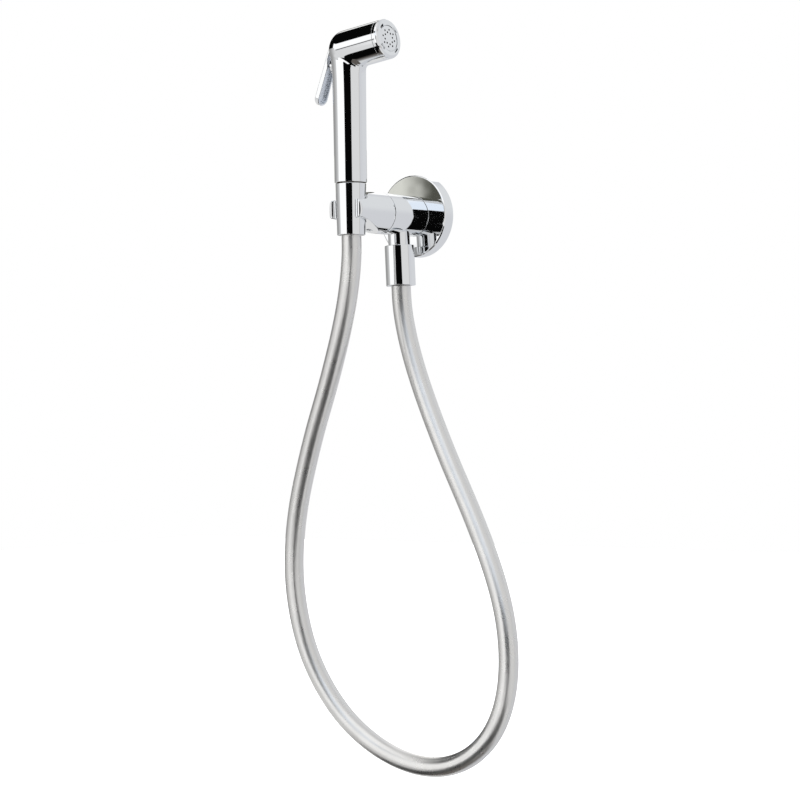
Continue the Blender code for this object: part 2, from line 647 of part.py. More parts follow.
def flow_plate(parent):
    start, end = PLATE_LEDGE + GAP, PLATE_LEDGE + GAP + 1.2 * MM
    disc = rod("flow_plate", PLATE_POCKET_R - GAP, start, end, HEAD, HEAD_AXIS, 32)
    rings = ((3.2 * MM, 6, 0), (6.6 * MM, 12, 15))
    drilled("port", disc, HEAD, HEAD_AXIS, start - MM, end + MM, 0.9 * MM, rings)
    finish_piece(disc, plastic, parent)


def face_seal(parent):
    start, end = NOSE_END + GAP, NOSE_END + GAP + 0.9 * MM
    profile = [(11.3 * MM, start), (12.8 * MM, start), (12.8 * MM, end), (11.3 * MM, end)]
    finish_piece(lathe("face_seal", profile, HEAD, HEAD_AXIS, SMALL), rubber, parent)


def spray_face(parent):
    back, flange, front = 36.4 * MM, 37.3 * MM, 38.7 * MM
    boss_r = FACE_HOLE_R - GAP
    profile = [(0, back), (12.9 * MM, back), (12.9 * MM, flange), (boss_r, flange), (boss_r, front),
               (0, front)]
    face = lathe("spray_face", profile, HEAD, HEAD_AXIS)
    rise = HEAD_AXIS.cross(SIDE)
    for ring, (circle, first) in enumerate(SPRAY_RINGS):
        for i in range(HOLES_PER_RING):
            angle = math.radians(first) + math.tau * i / HOLES_PER_RING
            spot = HEAD + (SIDE * math.cos(angle) + rise * math.sin(angle)) * circle
            cut(face, rod(f"jet{ring}_{i}", SPRAY_HOLE_R, back - MM, front + MM, spot, HEAD_AXIS, 8))
    finish_piece(face, chrome, parent)


def face_ring(parent):
    start, wall = HEAD_END + GAP, 37.6 * MM
    inner_r = NOSE_R + GAP
    profile = [(inner_r, start), (HEAD_R, start), (HEAD_R, 36.6 * MM), (14.9 * MM, 37.7 * MM),
               (14.1 * MM, 38.5 * MM), (13.0 * MM, FACE_RING_END), (FACE_HOLE_R, FACE_RING_END),
               (FACE_HOLE_R, wall), (inner_r, wall)]
    ring = lathe("face_ring", profile, HEAD, HEAD_AXIS)
    rise = HEAD_AXIS.cross(SIDE)
    for i in range(4):
        angle = math.radians(40 + 90 * i)
        out = SIDE * math.cos(angle) + rise * math.sin(angle)
        across = HEAD_AXIS.cross(out)
        corners = ((8.0, -2.4), (11.9, -2.4), (11.9, 2.4), (8.0, 2.4))
        base = HEAD + HEAD_AXIS * (FACE_RING_END + 0.2 * MM)
        outline = [base + out * r * MM + across * t * MM for r, t in corners]
        cut(ring, prism(f"notch{i}", outline, MM, HEAD_AXIS))
    finish_piece(ring, chrome, parent)


def make_wall_outlet():
    wall_flange()
    flange_gasket()
    elbow_body()
    inlet_nipple()
    inlet_washer()
    inlet_strainer()
    holder_fork()
    holder_screw()
    check_valve_body()
    poppet_axis = joint_empty("check_valve_axis", OUTLET)
    check_valve_poppet(poppet_axis)
    check_valve_spring(poppet_axis)
    outlet_nut()
    outlet_washer()
    ferrule("outlet_ferrule", 38.2 * MM, 10.1 * MM, NUT_END - 0.1 * MM, OUTLET, OUTLET_DOWN)
    hose()


def make_hand_spray():
    axis = joint_empty("handset_axis", SPRAY)
    ferrule("handset_ferrule", -8.3 * MM, TAIL_THREAD_R, -CONE_BOTTOM - 0.1 * MM, SPRAY, DOWN, axis)
    for piece in (handset_cone, handset_washer, handset_tail, handset_body, valve_seat, stem_gland, lever_pin,
                  flow_plate, face_seal, spray_face, face_ring):
        piece(axis)
    torus_ring("tail_oring", SPRAY, UP, ORING_Z, 10.05 * MM, 0.55 * MM, rubber, axis)
    torus_ring("stem_oring", VALVE, RIGHT, -8.2 * MM, 2.65 * MM, 0.6 * MM, rubber, axis)
    stem_axis = joint_empty("valve_axis", VALVE)
    valve_stem(stem_axis)
    poppet_washer(stem_axis)
    spring("valve_spring", VALVE, RIGHT, 4.3 * MM, 10.2 * MM, 2.9 * MM, 0.35 * MM, 4, stem_axis)
    trigger_lever(joint_empty("lever_axis", PIVOT))


clear_scene()
make_wall_outlet()
make_hand_spray()
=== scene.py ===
"""Finished surfaces, materials, stage and camera for the wall-hung trigger spray set.

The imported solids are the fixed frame. Shapes here are worked out in millimetres as numpy arrays,
from the same axes as the solids, and put into meshes in metres.
"""
import json
import math

import bpy
import numpy as np
from bpy.props import FloatProperty, FloatVectorProperty, PointerProperty
from mathutils import Matrix, Vector

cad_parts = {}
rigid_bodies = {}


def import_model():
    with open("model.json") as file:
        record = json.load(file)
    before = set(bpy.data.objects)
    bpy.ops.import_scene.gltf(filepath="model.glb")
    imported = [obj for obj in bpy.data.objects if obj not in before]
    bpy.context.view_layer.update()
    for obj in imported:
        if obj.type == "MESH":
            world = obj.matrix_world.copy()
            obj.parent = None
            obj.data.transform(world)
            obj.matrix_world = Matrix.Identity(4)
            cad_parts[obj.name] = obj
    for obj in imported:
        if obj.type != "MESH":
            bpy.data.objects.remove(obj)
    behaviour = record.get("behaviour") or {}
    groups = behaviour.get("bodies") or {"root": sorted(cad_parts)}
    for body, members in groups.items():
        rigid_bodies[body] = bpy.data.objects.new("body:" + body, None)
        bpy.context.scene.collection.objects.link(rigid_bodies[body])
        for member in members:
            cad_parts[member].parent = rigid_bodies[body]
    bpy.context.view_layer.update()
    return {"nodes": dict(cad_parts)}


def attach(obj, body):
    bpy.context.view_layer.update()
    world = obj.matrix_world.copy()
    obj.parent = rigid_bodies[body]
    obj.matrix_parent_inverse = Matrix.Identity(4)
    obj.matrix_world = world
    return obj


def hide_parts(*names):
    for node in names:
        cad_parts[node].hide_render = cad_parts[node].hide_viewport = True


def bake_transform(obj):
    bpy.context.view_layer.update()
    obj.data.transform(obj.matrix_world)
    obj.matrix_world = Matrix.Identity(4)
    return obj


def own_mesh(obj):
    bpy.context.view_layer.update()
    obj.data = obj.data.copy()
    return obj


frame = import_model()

bl_info = {
    "name": "Wall-hung Trigger Spray Set",
    "version": (1, 0, 0),
    "blender": (4, 5, 0),
    "location": "3D View > Sidebar > Spray Set",
    "description": "Finished surfaces, materials, stage and camera for the spray set",
    "category": "Object",
}

MM = 0.001

X, Y, Z = np.eye(3)
FRONT = -Y

# Axes of the solids, in millimetres
WALL = np.zeros(3)
OUTLET = np.array([0.0, -28.9, 0.0])
OUTLET_LEAN = math.radians(2.2)
OUTLET_DOWN = np.array([math.sin(OUTLET_LEAN), 0.0, -math.cos(OUTLET_LEAN)])
SPRAY = np.array([0.0, -86.5, 0.0])
HEAD = np.array([0.0, -86.5, 121.7])
HEAD_TILT = math.radians(7.0)
HEAD_AXIS = np.array([math.cos(HEAD_TILT), 0.0, math.sin(HEAD_TILT)])
HEAD_RISE = np.cross(HEAD_AXIS, Y)
VALVE = np.array([0.0, -86.5, 110.0])
PIVOT = np.array([-11.5, -86.5, 121.5])
LEVER_LEAN = math.radians(20.4)
LEVER_DOWN = np.array([-math.sin(LEVER_LEAN), 0.0, -math.cos(LEVER_LEAN)])
LEVER_IN = np.array([math.cos(LEVER_LEAN), 0.0, -math.sin(LEVER_LEAN)])

# The hose's centre line, from the hand spray to the outlet, as in the solids
HOSE_ROUTE = (
    (0, -86.5, -18.7), (0, -86.5, -30), (-1.5, -86.2, -45), (-5.3, -85.4, -64), (-12.3, -84.2, -88),
    (-21.4, -82.7, -112.5), (-32, -81, -138), (-43.3, -79.5, -164), (-54, -77.7, -191), (-63.8, -75.9, -220),
    (-70.6, -73.9, -249), (-73.6, -71.7, -279), (-71.4, -69.4, -309), (-64, -67, -338),
    (-50.5, -64.6, -364.5), (-31.2, -62.3, -387.8), (-7.5, -60, -405.3), (20, -57.8, -416.8),
    (50, -55.7, -420), (78.7, -53.4, -411.2), (100, -51, -390.5), (110.5, -48.6, -362),
    (111.5, -46.2, -332), (106.2, -43.9, -302.5), (96, -41.7, -274), (83, -39.5, -247), (68.3, -37.4, -220),
    (53.5, -35.5, -194), (39.5, -33.6, -168), (26.2, -31.9, -141), (14.4, -30.4, -113), (6, -29.3, -86),
    (2.8, -28.9, -68), (2.12, -28.9, -55.3),
)

# Springs as (piece, solid, point on the line, direction, ends, radius, wire radius, turns, body, joint, stroke)
SPRINGS = (
    ("return_spring", "valve_spring", VALVE, X, (4.3, 10.2), 2.9, 0.35, 4, "handset", "valve_slide", 2.7),
    ("non_return_spring", "check_valve_spring", OUTLET, OUTLET_DOWN, (28.6, 34.3), 2.3, 0.25, 5, "wall_outlet",
     "check_valve_slide", 3.0),
)


# ---------------------------------------------------------------- surfaces

SMALLEST_TURN = 1e-4  # a corner that turns by less, in radians, stays one point
MOST_OF_SIDE = 0.48  # the most of a side that the arc at one end of it may take up
HALVINGS = 34  # how often a ray's stretch is halved to find the skin
LEAST_COSINE = 1e-3  # keeps a ray's stretch finite where it runs along the axis it mustn't cross


def unit(vectors):
    return vectors / np.linalg.norm(vectors, axis=-1, keepdims=True)


def swing(angle, first, second):
    """One direction turned towards another: the cosine times the first plus the sine times the second."""
    return np.cos(angle)[..., None] * first + np.sin(angle)[..., None] * second


def swing_slope(angle, first, second):
    """How the swung direction changes as the angle grows."""
    return -np.sin(angle)[..., None] * first + np.cos(angle)[..., None] * second


def placed(line, across, along, origin=0.0):
    """A line of (across, along) put into space: its first number times one direction plus its second times
    the other, a row of points for each point of the line."""
    return origin + line[:, None, :1] * across + line[:, None, 1:] * along


def distance_along(points):
    return np.concatenate([[0], np.cumsum(np.linalg.norm(np.diff(points, axis=0), axis=1))])


def grid_cells(rows, columns):
    """The four corner numbers of every cell of a grid."""
    row, column = np.meshgrid(np.arange(rows - 1), np.arange(columns - 1), indexing="ij")
    first = row * columns + column
    return np.stack([first, first + 1, first + columns + 1, first + columns], -1).reshape(-1, 4)


def patch(points, normals, uv=None, caps=()):
    """One grid of points and normals, with the flat ends that close it: (point numbers, normal) each."""
    rows, columns = points.shape[:2]
    uv = np.zeros((rows, columns, 2)) if uv is None else uv
    return {"points": points.reshape(-1, 3), "normals": normals.reshape(-1, 3), "uv": uv.reshape(-1, 2),
            "cells": grid_cells(rows, columns), "caps": caps}


def end_caps(rows, columns, first_normal, last_normal):
    """The first and the last ring of a grid as flat ends."""
    rim = np.arange(columns - 1)
    return (rim, first_normal), (rim + (rows - 1) * columns, last_normal)


def rounded(corners, closed=False, steps=5):
    """A line through corners given as (across, along, rounding).

    Each corner becomes an arc of its rounding: the normal of the stretch before turns evenly into that of
    the stretch after, and the point stays one radius from the arc's centre. Outside is on the right."""
    at = np.array([c[:2] for c in corners], float)
    count = len(at)
    points, normals = [], []
    for i in range(count):
        inner = closed or 0 < i < count - 1
        before = at[i] - at[i - 1] if closed or i > 0 else at[1] - at[0]
        after = at[(i + 1) % count] - at[i] if closed or i < count - 1 else before
        long_before, long_after = np.linalg.norm(before), np.linalg.norm(after)
        before, after = before / long_before, after / long_after
        turn = math.atan2(before[0] * after[1] - before[1] * after[0], before @ after)
        normal = np.array([before[1], -before[0]])
        if not inner or abs(turn) < SMALLEST_TURN:
            points.append(at[i][None])
            normals.append(normal[None])
            continue
        side = math.copysign(1.0, turn)
        most = MOST_OF_SIDE * min(long_before, long_after)
        reach = min(corners[i][2] * math.tan(abs(turn) / 2), most)
        radius = reach / math.tan(abs(turn) / 2)
        angles = turn * np.linspace(0, 1, steps + 1)
        fan = np.stack([normal[0] * np.cos(angles) - normal[1] * np.sin(angles),
                        normal[0] * np.sin(angles) + normal[1] * np.cos(angles)], -1)
        centre = at[i] - before * reach - side * radius * normal
        points.append(centre + side * radius * fan)
        normals.append(fan)
    points, normals = np.concatenate(points), np.concatenate(normals)
    if closed:
        points, normals = np.vstack([points, points[:1]]), np.vstack([normals, normals[:1]])
    return points, normals


def lathe(line, origin, axis, sides=144, turns=None):
    """A line of (radius, height) turned round an axis, whole or between the angles in turns.

    A point is the origin, plus the height along the axis, plus the radius along a spoke that turns with
    the second parameter. Its normal is the line's own, turned with the spoke."""
    points, normals = line
    spoke = unit(np.cross(axis, X if abs(axis[0]) < 0.9 else Y))
    angle = np.linspace(0, 2 * np.pi, sides + 1) if turns is None else turns
    outward = swing(angle, spoke, np.cross(axis, spoke))
    return patch(placed(points, outward, axis, origin), placed(normals, outward, axis))


def tube(centre, tangent, spoke, radius, sides, along=None):
    """A circle carried along a line: it lies in the plane of the spoke and of what is square to the spoke and
    the line. Its ends are flat. Its UV, where distances along are given, is those and turns around."""
    angle = np.linspace(0, 2 * np.pi, sides + 1)
    facing = swing(angle, spoke[:, None], np.cross(tangent, spoke)[:, None])
    uv = None if along is None else np.stack(np.broadcast_arrays(along[:, None], angle / (2 * np.pi)), -1)
    caps = end_caps(len(centre), sides + 1, -tangent[0], tangent[-1])
    return patch(centre[:, None] + radius * facing, facing, uv, caps)


def plate(outline, origin, across, along, thick_axis, half, edge):
    """A flat outline with thickness: its edge is carried round as a line of quarter arcs.

    A point is the outline's point, drawn in by the line's inset, plus the line's height along the
    thickness. The two faces are flat and close the grid."""
    points, normals = outline
    line, facing = rounded([(-edge * 1.5, -half, 0), (0, -half, edge), (0, half, edge), (-edge * 1.5, half, 0)])
    flat = points[None] + normals[None] * line[:, None, :1]
    skin = origin + flat[..., :1] * across + flat[..., 1:] * along + line[:, None, 1:] * thick_axis
    wall = normals[:, :1] * across + normals[:, 1:] * along
    caps = end_caps(len(line), len(points), -thick_axis, thick_axis)
    return patch(skin, placed(facing, wall, thick_axis), caps=caps)


def box_surface(low, high):
    """A box as a square tube with two flat ends."""
    low, high = np.array(low, float), np.array(high, float)
    corners = [(low[1], low[2]), (high[1], low[2]), (high[1], high[2]), (low[1], high[2]), (low[1], low[2])]
    points = np.array([[(x, y, z) for y, z in corners] for x in (low[0], high[0])])
    return patch(points, unit(points - (low + high) / 2), caps=end_caps(2, len(corners), -X, X))


def smooth_min(a, b, reach):
    """The lesser of two fields, with the crease rounded where they differ by less than reach."""
    near = np.clip(reach - np.abs(a - b), 0, None) / reach
    return np.minimum(a, b) - near**3 * reach / 6


def smooth_max(a, b, reach):
    return -smooth_min(-a, -b, reach)


def field_normals(field, points, step=0.01):
    """The direction in which a field grows fastest, from its change over a short step each way."""
    slope = [field(points + axis * step) - field(points - axis * step) for axis in (X, Y, Z)]
    return unit(np.stack(slope, -1))


def cast(field, centres, rays, reach):
    """Where rays from inside a shape leave it: the field's sign is halved down to the zero."""
    low, high = np.zeros(np.broadcast_shapes(reach.shape, rays.shape[:-1])), reach + np.zeros(rays.shape[:-1])
    for _ in range(HALVINGS):
        middle = (low + high) / 2
        inside = field(centres + rays * middle[..., None]) < 0
        low, high = np.where(inside, middle, low), np.where(inside, high, middle)
    return centres + rays * low[..., None]


def smooth_line(knots, at):
    """A smooth curve through (place, height) knots: cubic pieces that take the mean slope at each knot."""
    knots = np.array(knots, float)
    place, height = knots[:, 0], knots[:, 1]
    slope = np.gradient(height, place)
    i = np.clip(np.searchsorted(place, at, side="right") - 1, 0, len(place) - 2)
    width = place[i + 1] - place[i]
    part = (at - place[i]) / width
    inside = np.clip(part, 0, 1)
    value = (height[i] * (1 + 2 * inside) * (1 - inside)**2 + slope[i] * width * inside * (1 - inside)**2
             + height[i + 1] * inside**2 * (3 - 2 * inside) + slope[i + 1] * width * inside**2 * (inside - 1))
    beyond = np.where(part > 1, part - 1, np.minimum(part, 0)) * width
    return value + beyond * np.where(part > 1, slope[i + 1], slope[i])


# ---------------------------------------------------------------- meshes

WELD = 2e-4  # points in the same cell of this grid become one, in millimetres
WELD_SHIFT = 0.137  # moves the grid, so that round coordinates don't lie on the edges of its cells
SKIN_NEAR = 0.06  # a face this near to a field's zero lies on its skin


def read(items, name, width=1, kind=np.float32):
    """One attribute of all the items of a mesh, as an array with a row for each item."""
    values = np.zeros(len(items) * width, kind)
    items.foreach_get(name, values)
    return values.reshape(-1, width) if width > 1 else values


def corner_normals(mesh, normals):
    mesh.polygons.foreach_set("use_smooth", np.ones(len(mesh.polygons), bool))
    mesh.normals_split_custom_set(normals.tolist())


def make_piece(name, patches, finish, slot, body, *stands_for):
    """Put grids into one mesh: equal points are welded, and every face is turned to its normals."""
    points, normals, uv = (np.concatenate([p[part] for p in patches]) for part in ("points", "normals", "uv"))
    starts = np.cumsum([0] + [len(p["points"]) for p in patches])
    cells = np.concatenate([p["cells"] + start for p, start in zip(patches, starts)])
    diagonal = points[cells[:, 2]] - points[cells[:, 0]], points[cells[:, 3]] - points[cells[:, 1]]
    lean = (np.cross(*diagonal) * normals[cells].sum(1)).sum(-1)
    cells = np.where(lean[:, None] < 0, cells[:, ::-1], cells)
    _, first, place = np.unique(np.round(points / WELD + WELD_SHIFT).astype(np.int64), axis=0,
                                return_index=True, return_inverse=True)
    place = place.reshape(-1)
    folded = place[cells] == np.roll(place[cells], 1, axis=1)
    crossed = [place[cells[:, i]] == place[cells[:, i + 2]] for i in (0, 1)]
    whole = (folded.sum(1) < 2) & ~crossed[0] & ~crossed[1]
    cells, kept = cells[whole], ~folded[whole]
    corners, facing, totals = [cells[kept]], [normals[cells][kept]], [kept.sum(1)]
    for p, start in zip(patches, starts):
        for rim, normal in p["caps"]:
            rim = rim + start
            rim = rim[place[rim] != np.roll(place[rim], 1)]
            from_first = points[rim] - points[rim[0]], np.roll(points[rim], -1, 0) - points[rim[0]]
            rim = rim[::-1] if np.cross(*from_first).sum(0) @ normal < 0 else rim
            corners.append(rim)
            facing.append(np.tile(normal, (len(rim), 1)))
            totals.append([len(rim)])
    corners, facing, totals = (np.concatenate(part) for part in (corners, facing, totals))
    mesh = bpy.data.meshes.new(name)
    mesh.vertices.add(len(first))
    mesh.vertices.foreach_set("co", (points[first] * MM).astype(np.float32).ravel())
    mesh.loops.add(len(corners))
    mesh.loops.foreach_set("vertex_index", place[corners].astype(np.int32))
    mesh.polygons.add(len(totals))
    mesh.polygons.foreach_set("loop_start", (np.cumsum(totals) - totals).astype(np.int32))
    mesh.update(calc_edges=True)
    mesh.uv_layers.new(name="UVMap").data.foreach_set("uv", uv[corners].astype(np.float32).ravel())
    corner_normals(mesh, unit(facing))
    obj = bpy.data.objects.new(name, mesh)
    bpy.context.collection.objects.link(obj)
    mesh.materials.append(finish)
    if body:
        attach(obj, body)
    if stands_for:
        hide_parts(*stands_for)
    return obj


def carve(obj, field, *cutters, inside=None):
    """Cut patches out of a piece. Faces on the old skin keep the field's normals, and the cut's are flat.

    Where a finish for the inside is given, the cut's faces take it as the piece's second material."""
    if inside:
        obj.data.materials.append(inside)
    for i, shape in enumerate(cutters):
        tool = make_piece(f"cutter_{i}", [shape], obj.data.materials[0], "chrome", None)
        if inside:
            tool.data.materials.append(inside)
            tool.data.polygons.foreach_set("material_index", np.ones(len(tool.data.polygons), np.int32))
        cut = obj.modifiers.new(f"cut_{i}", "BOOLEAN")
        cut.operation, cut.solver, cut.object = "DIFFERENCE", "EXACT", tool
    bpy.context.view_layer.update()
    mesh = bpy.data.meshes.new_from_object(obj.evaluated_get(bpy.context.evaluated_depsgraph_get()))
    obj.modifiers.clear()
    for tool in [o for o in bpy.data.objects if o.name.startswith("cutter_")]:
        bpy.data.objects.remove(tool)
    obj.data = mesh
    corner = read(mesh.vertices, "co", 3)[read(mesh.loops, "vertex_index", kind=np.int32)]
    totals = read(mesh.polygons, "loop_total", kind=np.int32)
    on_skin = np.repeat(np.abs(field(read(mesh.polygons, "center", 3) / MM)) < SKIN_NEAR, totals)
    skin = field_normals(field, corner.astype(float) / MM)
    flat = np.repeat(read(mesh.polygons, "normal", 3), totals, axis=0)
    corner_normals(mesh, np.where(on_skin[:, None], skin, flat))


# ---------------------------------------------------------------- materials

def feed(tree, made, feeds):
    """Give a node its inputs, by name or number: another node's socket is linked, and a value is set."""
    for label, value in feeds.items():
        if isinstance(value, bpy.types.NodeSocket):
            tree.links.new(value, made.inputs[label])
        else:
            made.inputs[label].default_value = value


def node(tree, kind, feeds=None, **settings):
    made = tree.nodes.new("ShaderNode" + kind)
    for key, value in settings.items():
        setattr(made, key, value)
    feed(tree, made, feeds or {})
    return made


def maths(tree, operation, *feeds):
    return node(tree, "Math", dict(enumerate(feeds)), operation=operation).outputs["Value"]


def noise(tree, place, scale, detail):
    return node(tree, "TexNoise", {"Vector": place, "Scale": scale, "Detail": detail}).outputs["Fac"]


def mixed(tree, share, first, second, **settings):
    """The colour between two colours, at a share of the way to the second."""
    first_colour, second_colour, colour = 6, 7, 2
    feeds = {0: share, first_colour: first, second_colour: second}
    return node(tree, "Mix", feeds, data_type="RGBA", **settings).outputs[colour]


def spread(tree, value, low, high, to_low=0.0, to_high=1.0, kind="SMOOTHSTEP"):
    """A value's stretch between low and high spread over the stretch between two others."""
    feeds = {"Value": value, "From Min": low, "From Max": high, "To Min": to_low, "To Max": to_high}
    return node(tree, "MapRange", feeds, interpolation_type=kind).outputs["Result"]


def bumped(tree, height, strength, distance):
    feeds = {"Height": height, "Strength": strength, "Distance": distance}
    return node(tree, "Bump", feeds).outputs["Normal"]


CLOUD_LOW, CLOUD_HIGH = 0.35, 0.65  # the part of the noise that the haze is made from


def haze_clouds(tree, place, given):
    """Soft clouds on a polished or moulded surface, as a roughness between two values."""
    clouds = noise(tree, place, given["Scale"], 4.0)
    return spread(tree, clouds, CLOUD_LOW, CLOUD_HIGH, given["Least"], given["Most"])


def grain_height(tree, place, given):
    """Fine unevenness of a surface, as a height from 0 to 1: noise, stretched along each axis by its scale."""
    stretch = node(tree, "VectorMath", {0: place, 1: given["Scale"]}, operation="MULTIPLY")
    return noise(tree, stretch.outputs["Vector"], 1.0, given["Detail"])


def tone_colour(tree, place, given):
    """Slow change of a colour over a surface: noise mixes two tints."""
    return mixed(tree, noise(tree, place, given["Scale"], 5.0), given["Light"], given["Dark"])


# Effects as (what fills the group, its inputs as (name, kind, default), its output's name and kind)
EFFECTS = {
    "surface_haze": (haze_clouds, (("Scale", "Float", 60.0), ("Least", "Float", 0.03), ("Most", "Float", 0.06)),
                     ("Roughness", "Float")),
    "surface_grain": (grain_height, (("Scale", "Vector", (400.0, 400.0, 400.0)), ("Detail", "Float", 3.0)),
                      ("Height", "Float")),
    "surface_tone": (tone_colour, (("Scale", "Float", 30.0), ("Light", "Color", (1, 1, 1, 1)),
                                   ("Dark", "Color", (0.9, 0.9, 0.9, 1))), ("Colour", "Color")),
}


def effect_group(name):
    """The node group of an effect, made when it is first asked for."""
    made = bpy.data.node_groups.get(name)
    if made:
        return made
    fill, inputs, (result, result_kind) = EFFECTS[name]
    tree = bpy.data.node_groups.new(name, "ShaderNodeTree")
    for label, kind, default in inputs:
        socket = tree.interface.new_socket(label, in_out="INPUT", socket_type="NodeSocket" + kind)
        socket.default_value = default
    tree.interface.new_socket(result, in_out="OUTPUT", socket_type="NodeSocket" + result_kind)
    given, out = tree.nodes.new("NodeGroupInput"), tree.nodes.new("NodeGroupOutput")
    place = node(tree, "TexCoord").outputs["Object"]
    feed(tree, out, {result: fill(tree, place, given.outputs)})
    return tree


def effect(tree, name, **values):
    """An effect placed in a material with its own values."""
    feeds = {label.capitalize(): value for label, value in values.items()}
    return node(tree, "Group", feeds, node_tree=effect_group(name)).outputs[0]


def new_material(name):
    mat = bpy.data.materials.new(name)
    mat.use_nodes = True
    return mat, mat.node_tree, mat.node_tree.nodes["Principled BSDF"]


# Finishes as (tint, its darker tone's share of it, tone scale, metallic, least and most roughness, haze scale,
# grain scale along each axis, bump in metres, grain detail). A tint that is a word is one of the settings.
FINISHES = {
    "polished_chrome": ("chrome", 0.985, 9.0, 1.0, None, 45.0, (120.0, 120.0, 90.0), 1.5e-6, 1.0),
    "satin_chrome": ((0.9, 0.94, 1.0), 0.97, 40.0, 1.0, (0.4, 0.46), 120.0, (900.0, 900.0, 900.0), 3e-6, 3.0),
    "turned_brass": ("brass", 0.86, 220.0, 1.0, (0.2, 0.34), 300.0, (500.0, 4200.0, 4200.0), 2e-5, 3.0),
    # Brass darkened as painted shade, so the gap between the cone nut and the handle looks shadowed.
    "dark_brass": ((0.1, 0.075, 0.04), 0.7, 220.0, 1.0, (0.4, 0.6), 300.0, (500.0, 4200.0, 4200.0), 2e-5, 3.0),
    "spring_steel": ("steel", 0.88, 400.0, 1.0, (0.18, 0.3), 500.0, (2400.0, 2400.0, 2400.0), 1e-5, 3.0),
    # Near black: painted shade inside the jet bores.
    "dark_bore": ((0.02, 0.02, 0.02), 0.7, 300.0, 0.3, (0.5, 0.7), 300.0, (900.0, 900.0, 900.0), 2e-5, 3.0),
    "black_rubber": ("rubber", 0.6, 160.0, 0.0, (0.6, 0.8), 200.0, (900.0, 900.0, 900.0), 8e-5, 6.0),
    "white_plastic": ("plastic", 0.94, 60.0, 0.0, (0.36, 0.48), 120.0, (1200.0, 1200.0, 1200.0), 2e-5, 3.0),
}
CHROME_HAZE = 0.02  # how much rougher than its least roughness the polished chrome is at most


def finish(name):
    """One finish of the set by name, made when first asked for: a changing tint and roughness, and a fine bump."""
    if name in bpy.data.materials:
        return bpy.data.materials[name]
    settings = bpy.context.scene.spray_finish
    tint, shade, tone_scale, metallic, rough, haze_scale, grain, depth, detail = FINISHES[name]
    tint = tuple(getattr(settings, tint) if isinstance(tint, str) else tint)
    least, most = rough or (settings.chrome_roughness, settings.chrome_roughness + CHROME_HAZE)
    mat, tree, shader = new_material(name)
    feed(tree, shader, {
        "Metallic": metallic,
        "Base Color": effect(tree, "surface_tone", scale=tone_scale, light=(*tint, 1),
                             dark=(*(c * shade for c in tint), 1)),
        "Roughness": effect(tree, "surface_haze", scale=haze_scale, least=least, most=most),
        "Normal": bumped(tree, effect(tree, "surface_grain", scale=grain, detail=detail), 1.0, depth),
    })
    return mat


BRAID_TURNS = 420.0  # turns of a strand of the hose's braid in a metre
BRAID_STRANDS = 16.0


def hose_finish():
    """Satin silver hose: a fine braid under a clear skin, laid along the piece's own UV map.

    Two sets of stripes wind round the hose in opposite directions, so many to the turn."""
    settings = bpy.context.scene.spray_finish
    mat, tree, shader = new_material("silver_hose_skin")
    uv = node(tree, "UVMap", uv_map="UVMap").outputs["UV"]
    place = node(tree, "SeparateXYZ", {"Vector": uv}).outputs
    waves = []
    for winding in (1.0, -1.0):
        along = maths(tree, "MULTIPLY", place["X"], 2 * math.pi * BRAID_TURNS * winding)
        around = maths(tree, "MULTIPLY_ADD", place["Y"], 2 * math.pi * BRAID_STRANDS, along)
        waves.append(maths(tree, "SINE", around))
    braid = maths(tree, "MAXIMUM", *waves)
    tone = effect(tree, "surface_tone", scale=38.0, light=(*settings.hose, 1),
                  dark=(*(c * 0.93 for c in settings.hose), 1))
    strands = spread(tree, braid, -1.0, 1.0, 0.97, 1.0, "LINEAR")
    rough = settings.hose_roughness
    feed(tree, shader, {
        "Metallic": 0.9,
        "Base Color": mixed(tree, 1.0, tone, strands, blend_type="MULTIPLY"),
        "Roughness": effect(tree, "surface_haze", scale=90.0, least=rough - 0.02, most=rough + 0.03),
        "Normal": bumped(tree, braid, 0.3, 6e-6),
    })
    return mat


# ---------------------------------------------------------------- stage

# The camera as fitted to the photograph, in millimetres and degrees
CAMERA_AT = (1141.5, -1495.3, -148.5)
CAMERA_AZIMUTH, CAMERA_PITCH, CAMERA_ROLL = 37.91, 0.16, -0.77
CAMERA_LENS, CAMERA_SENSOR = 108.0, 36.0

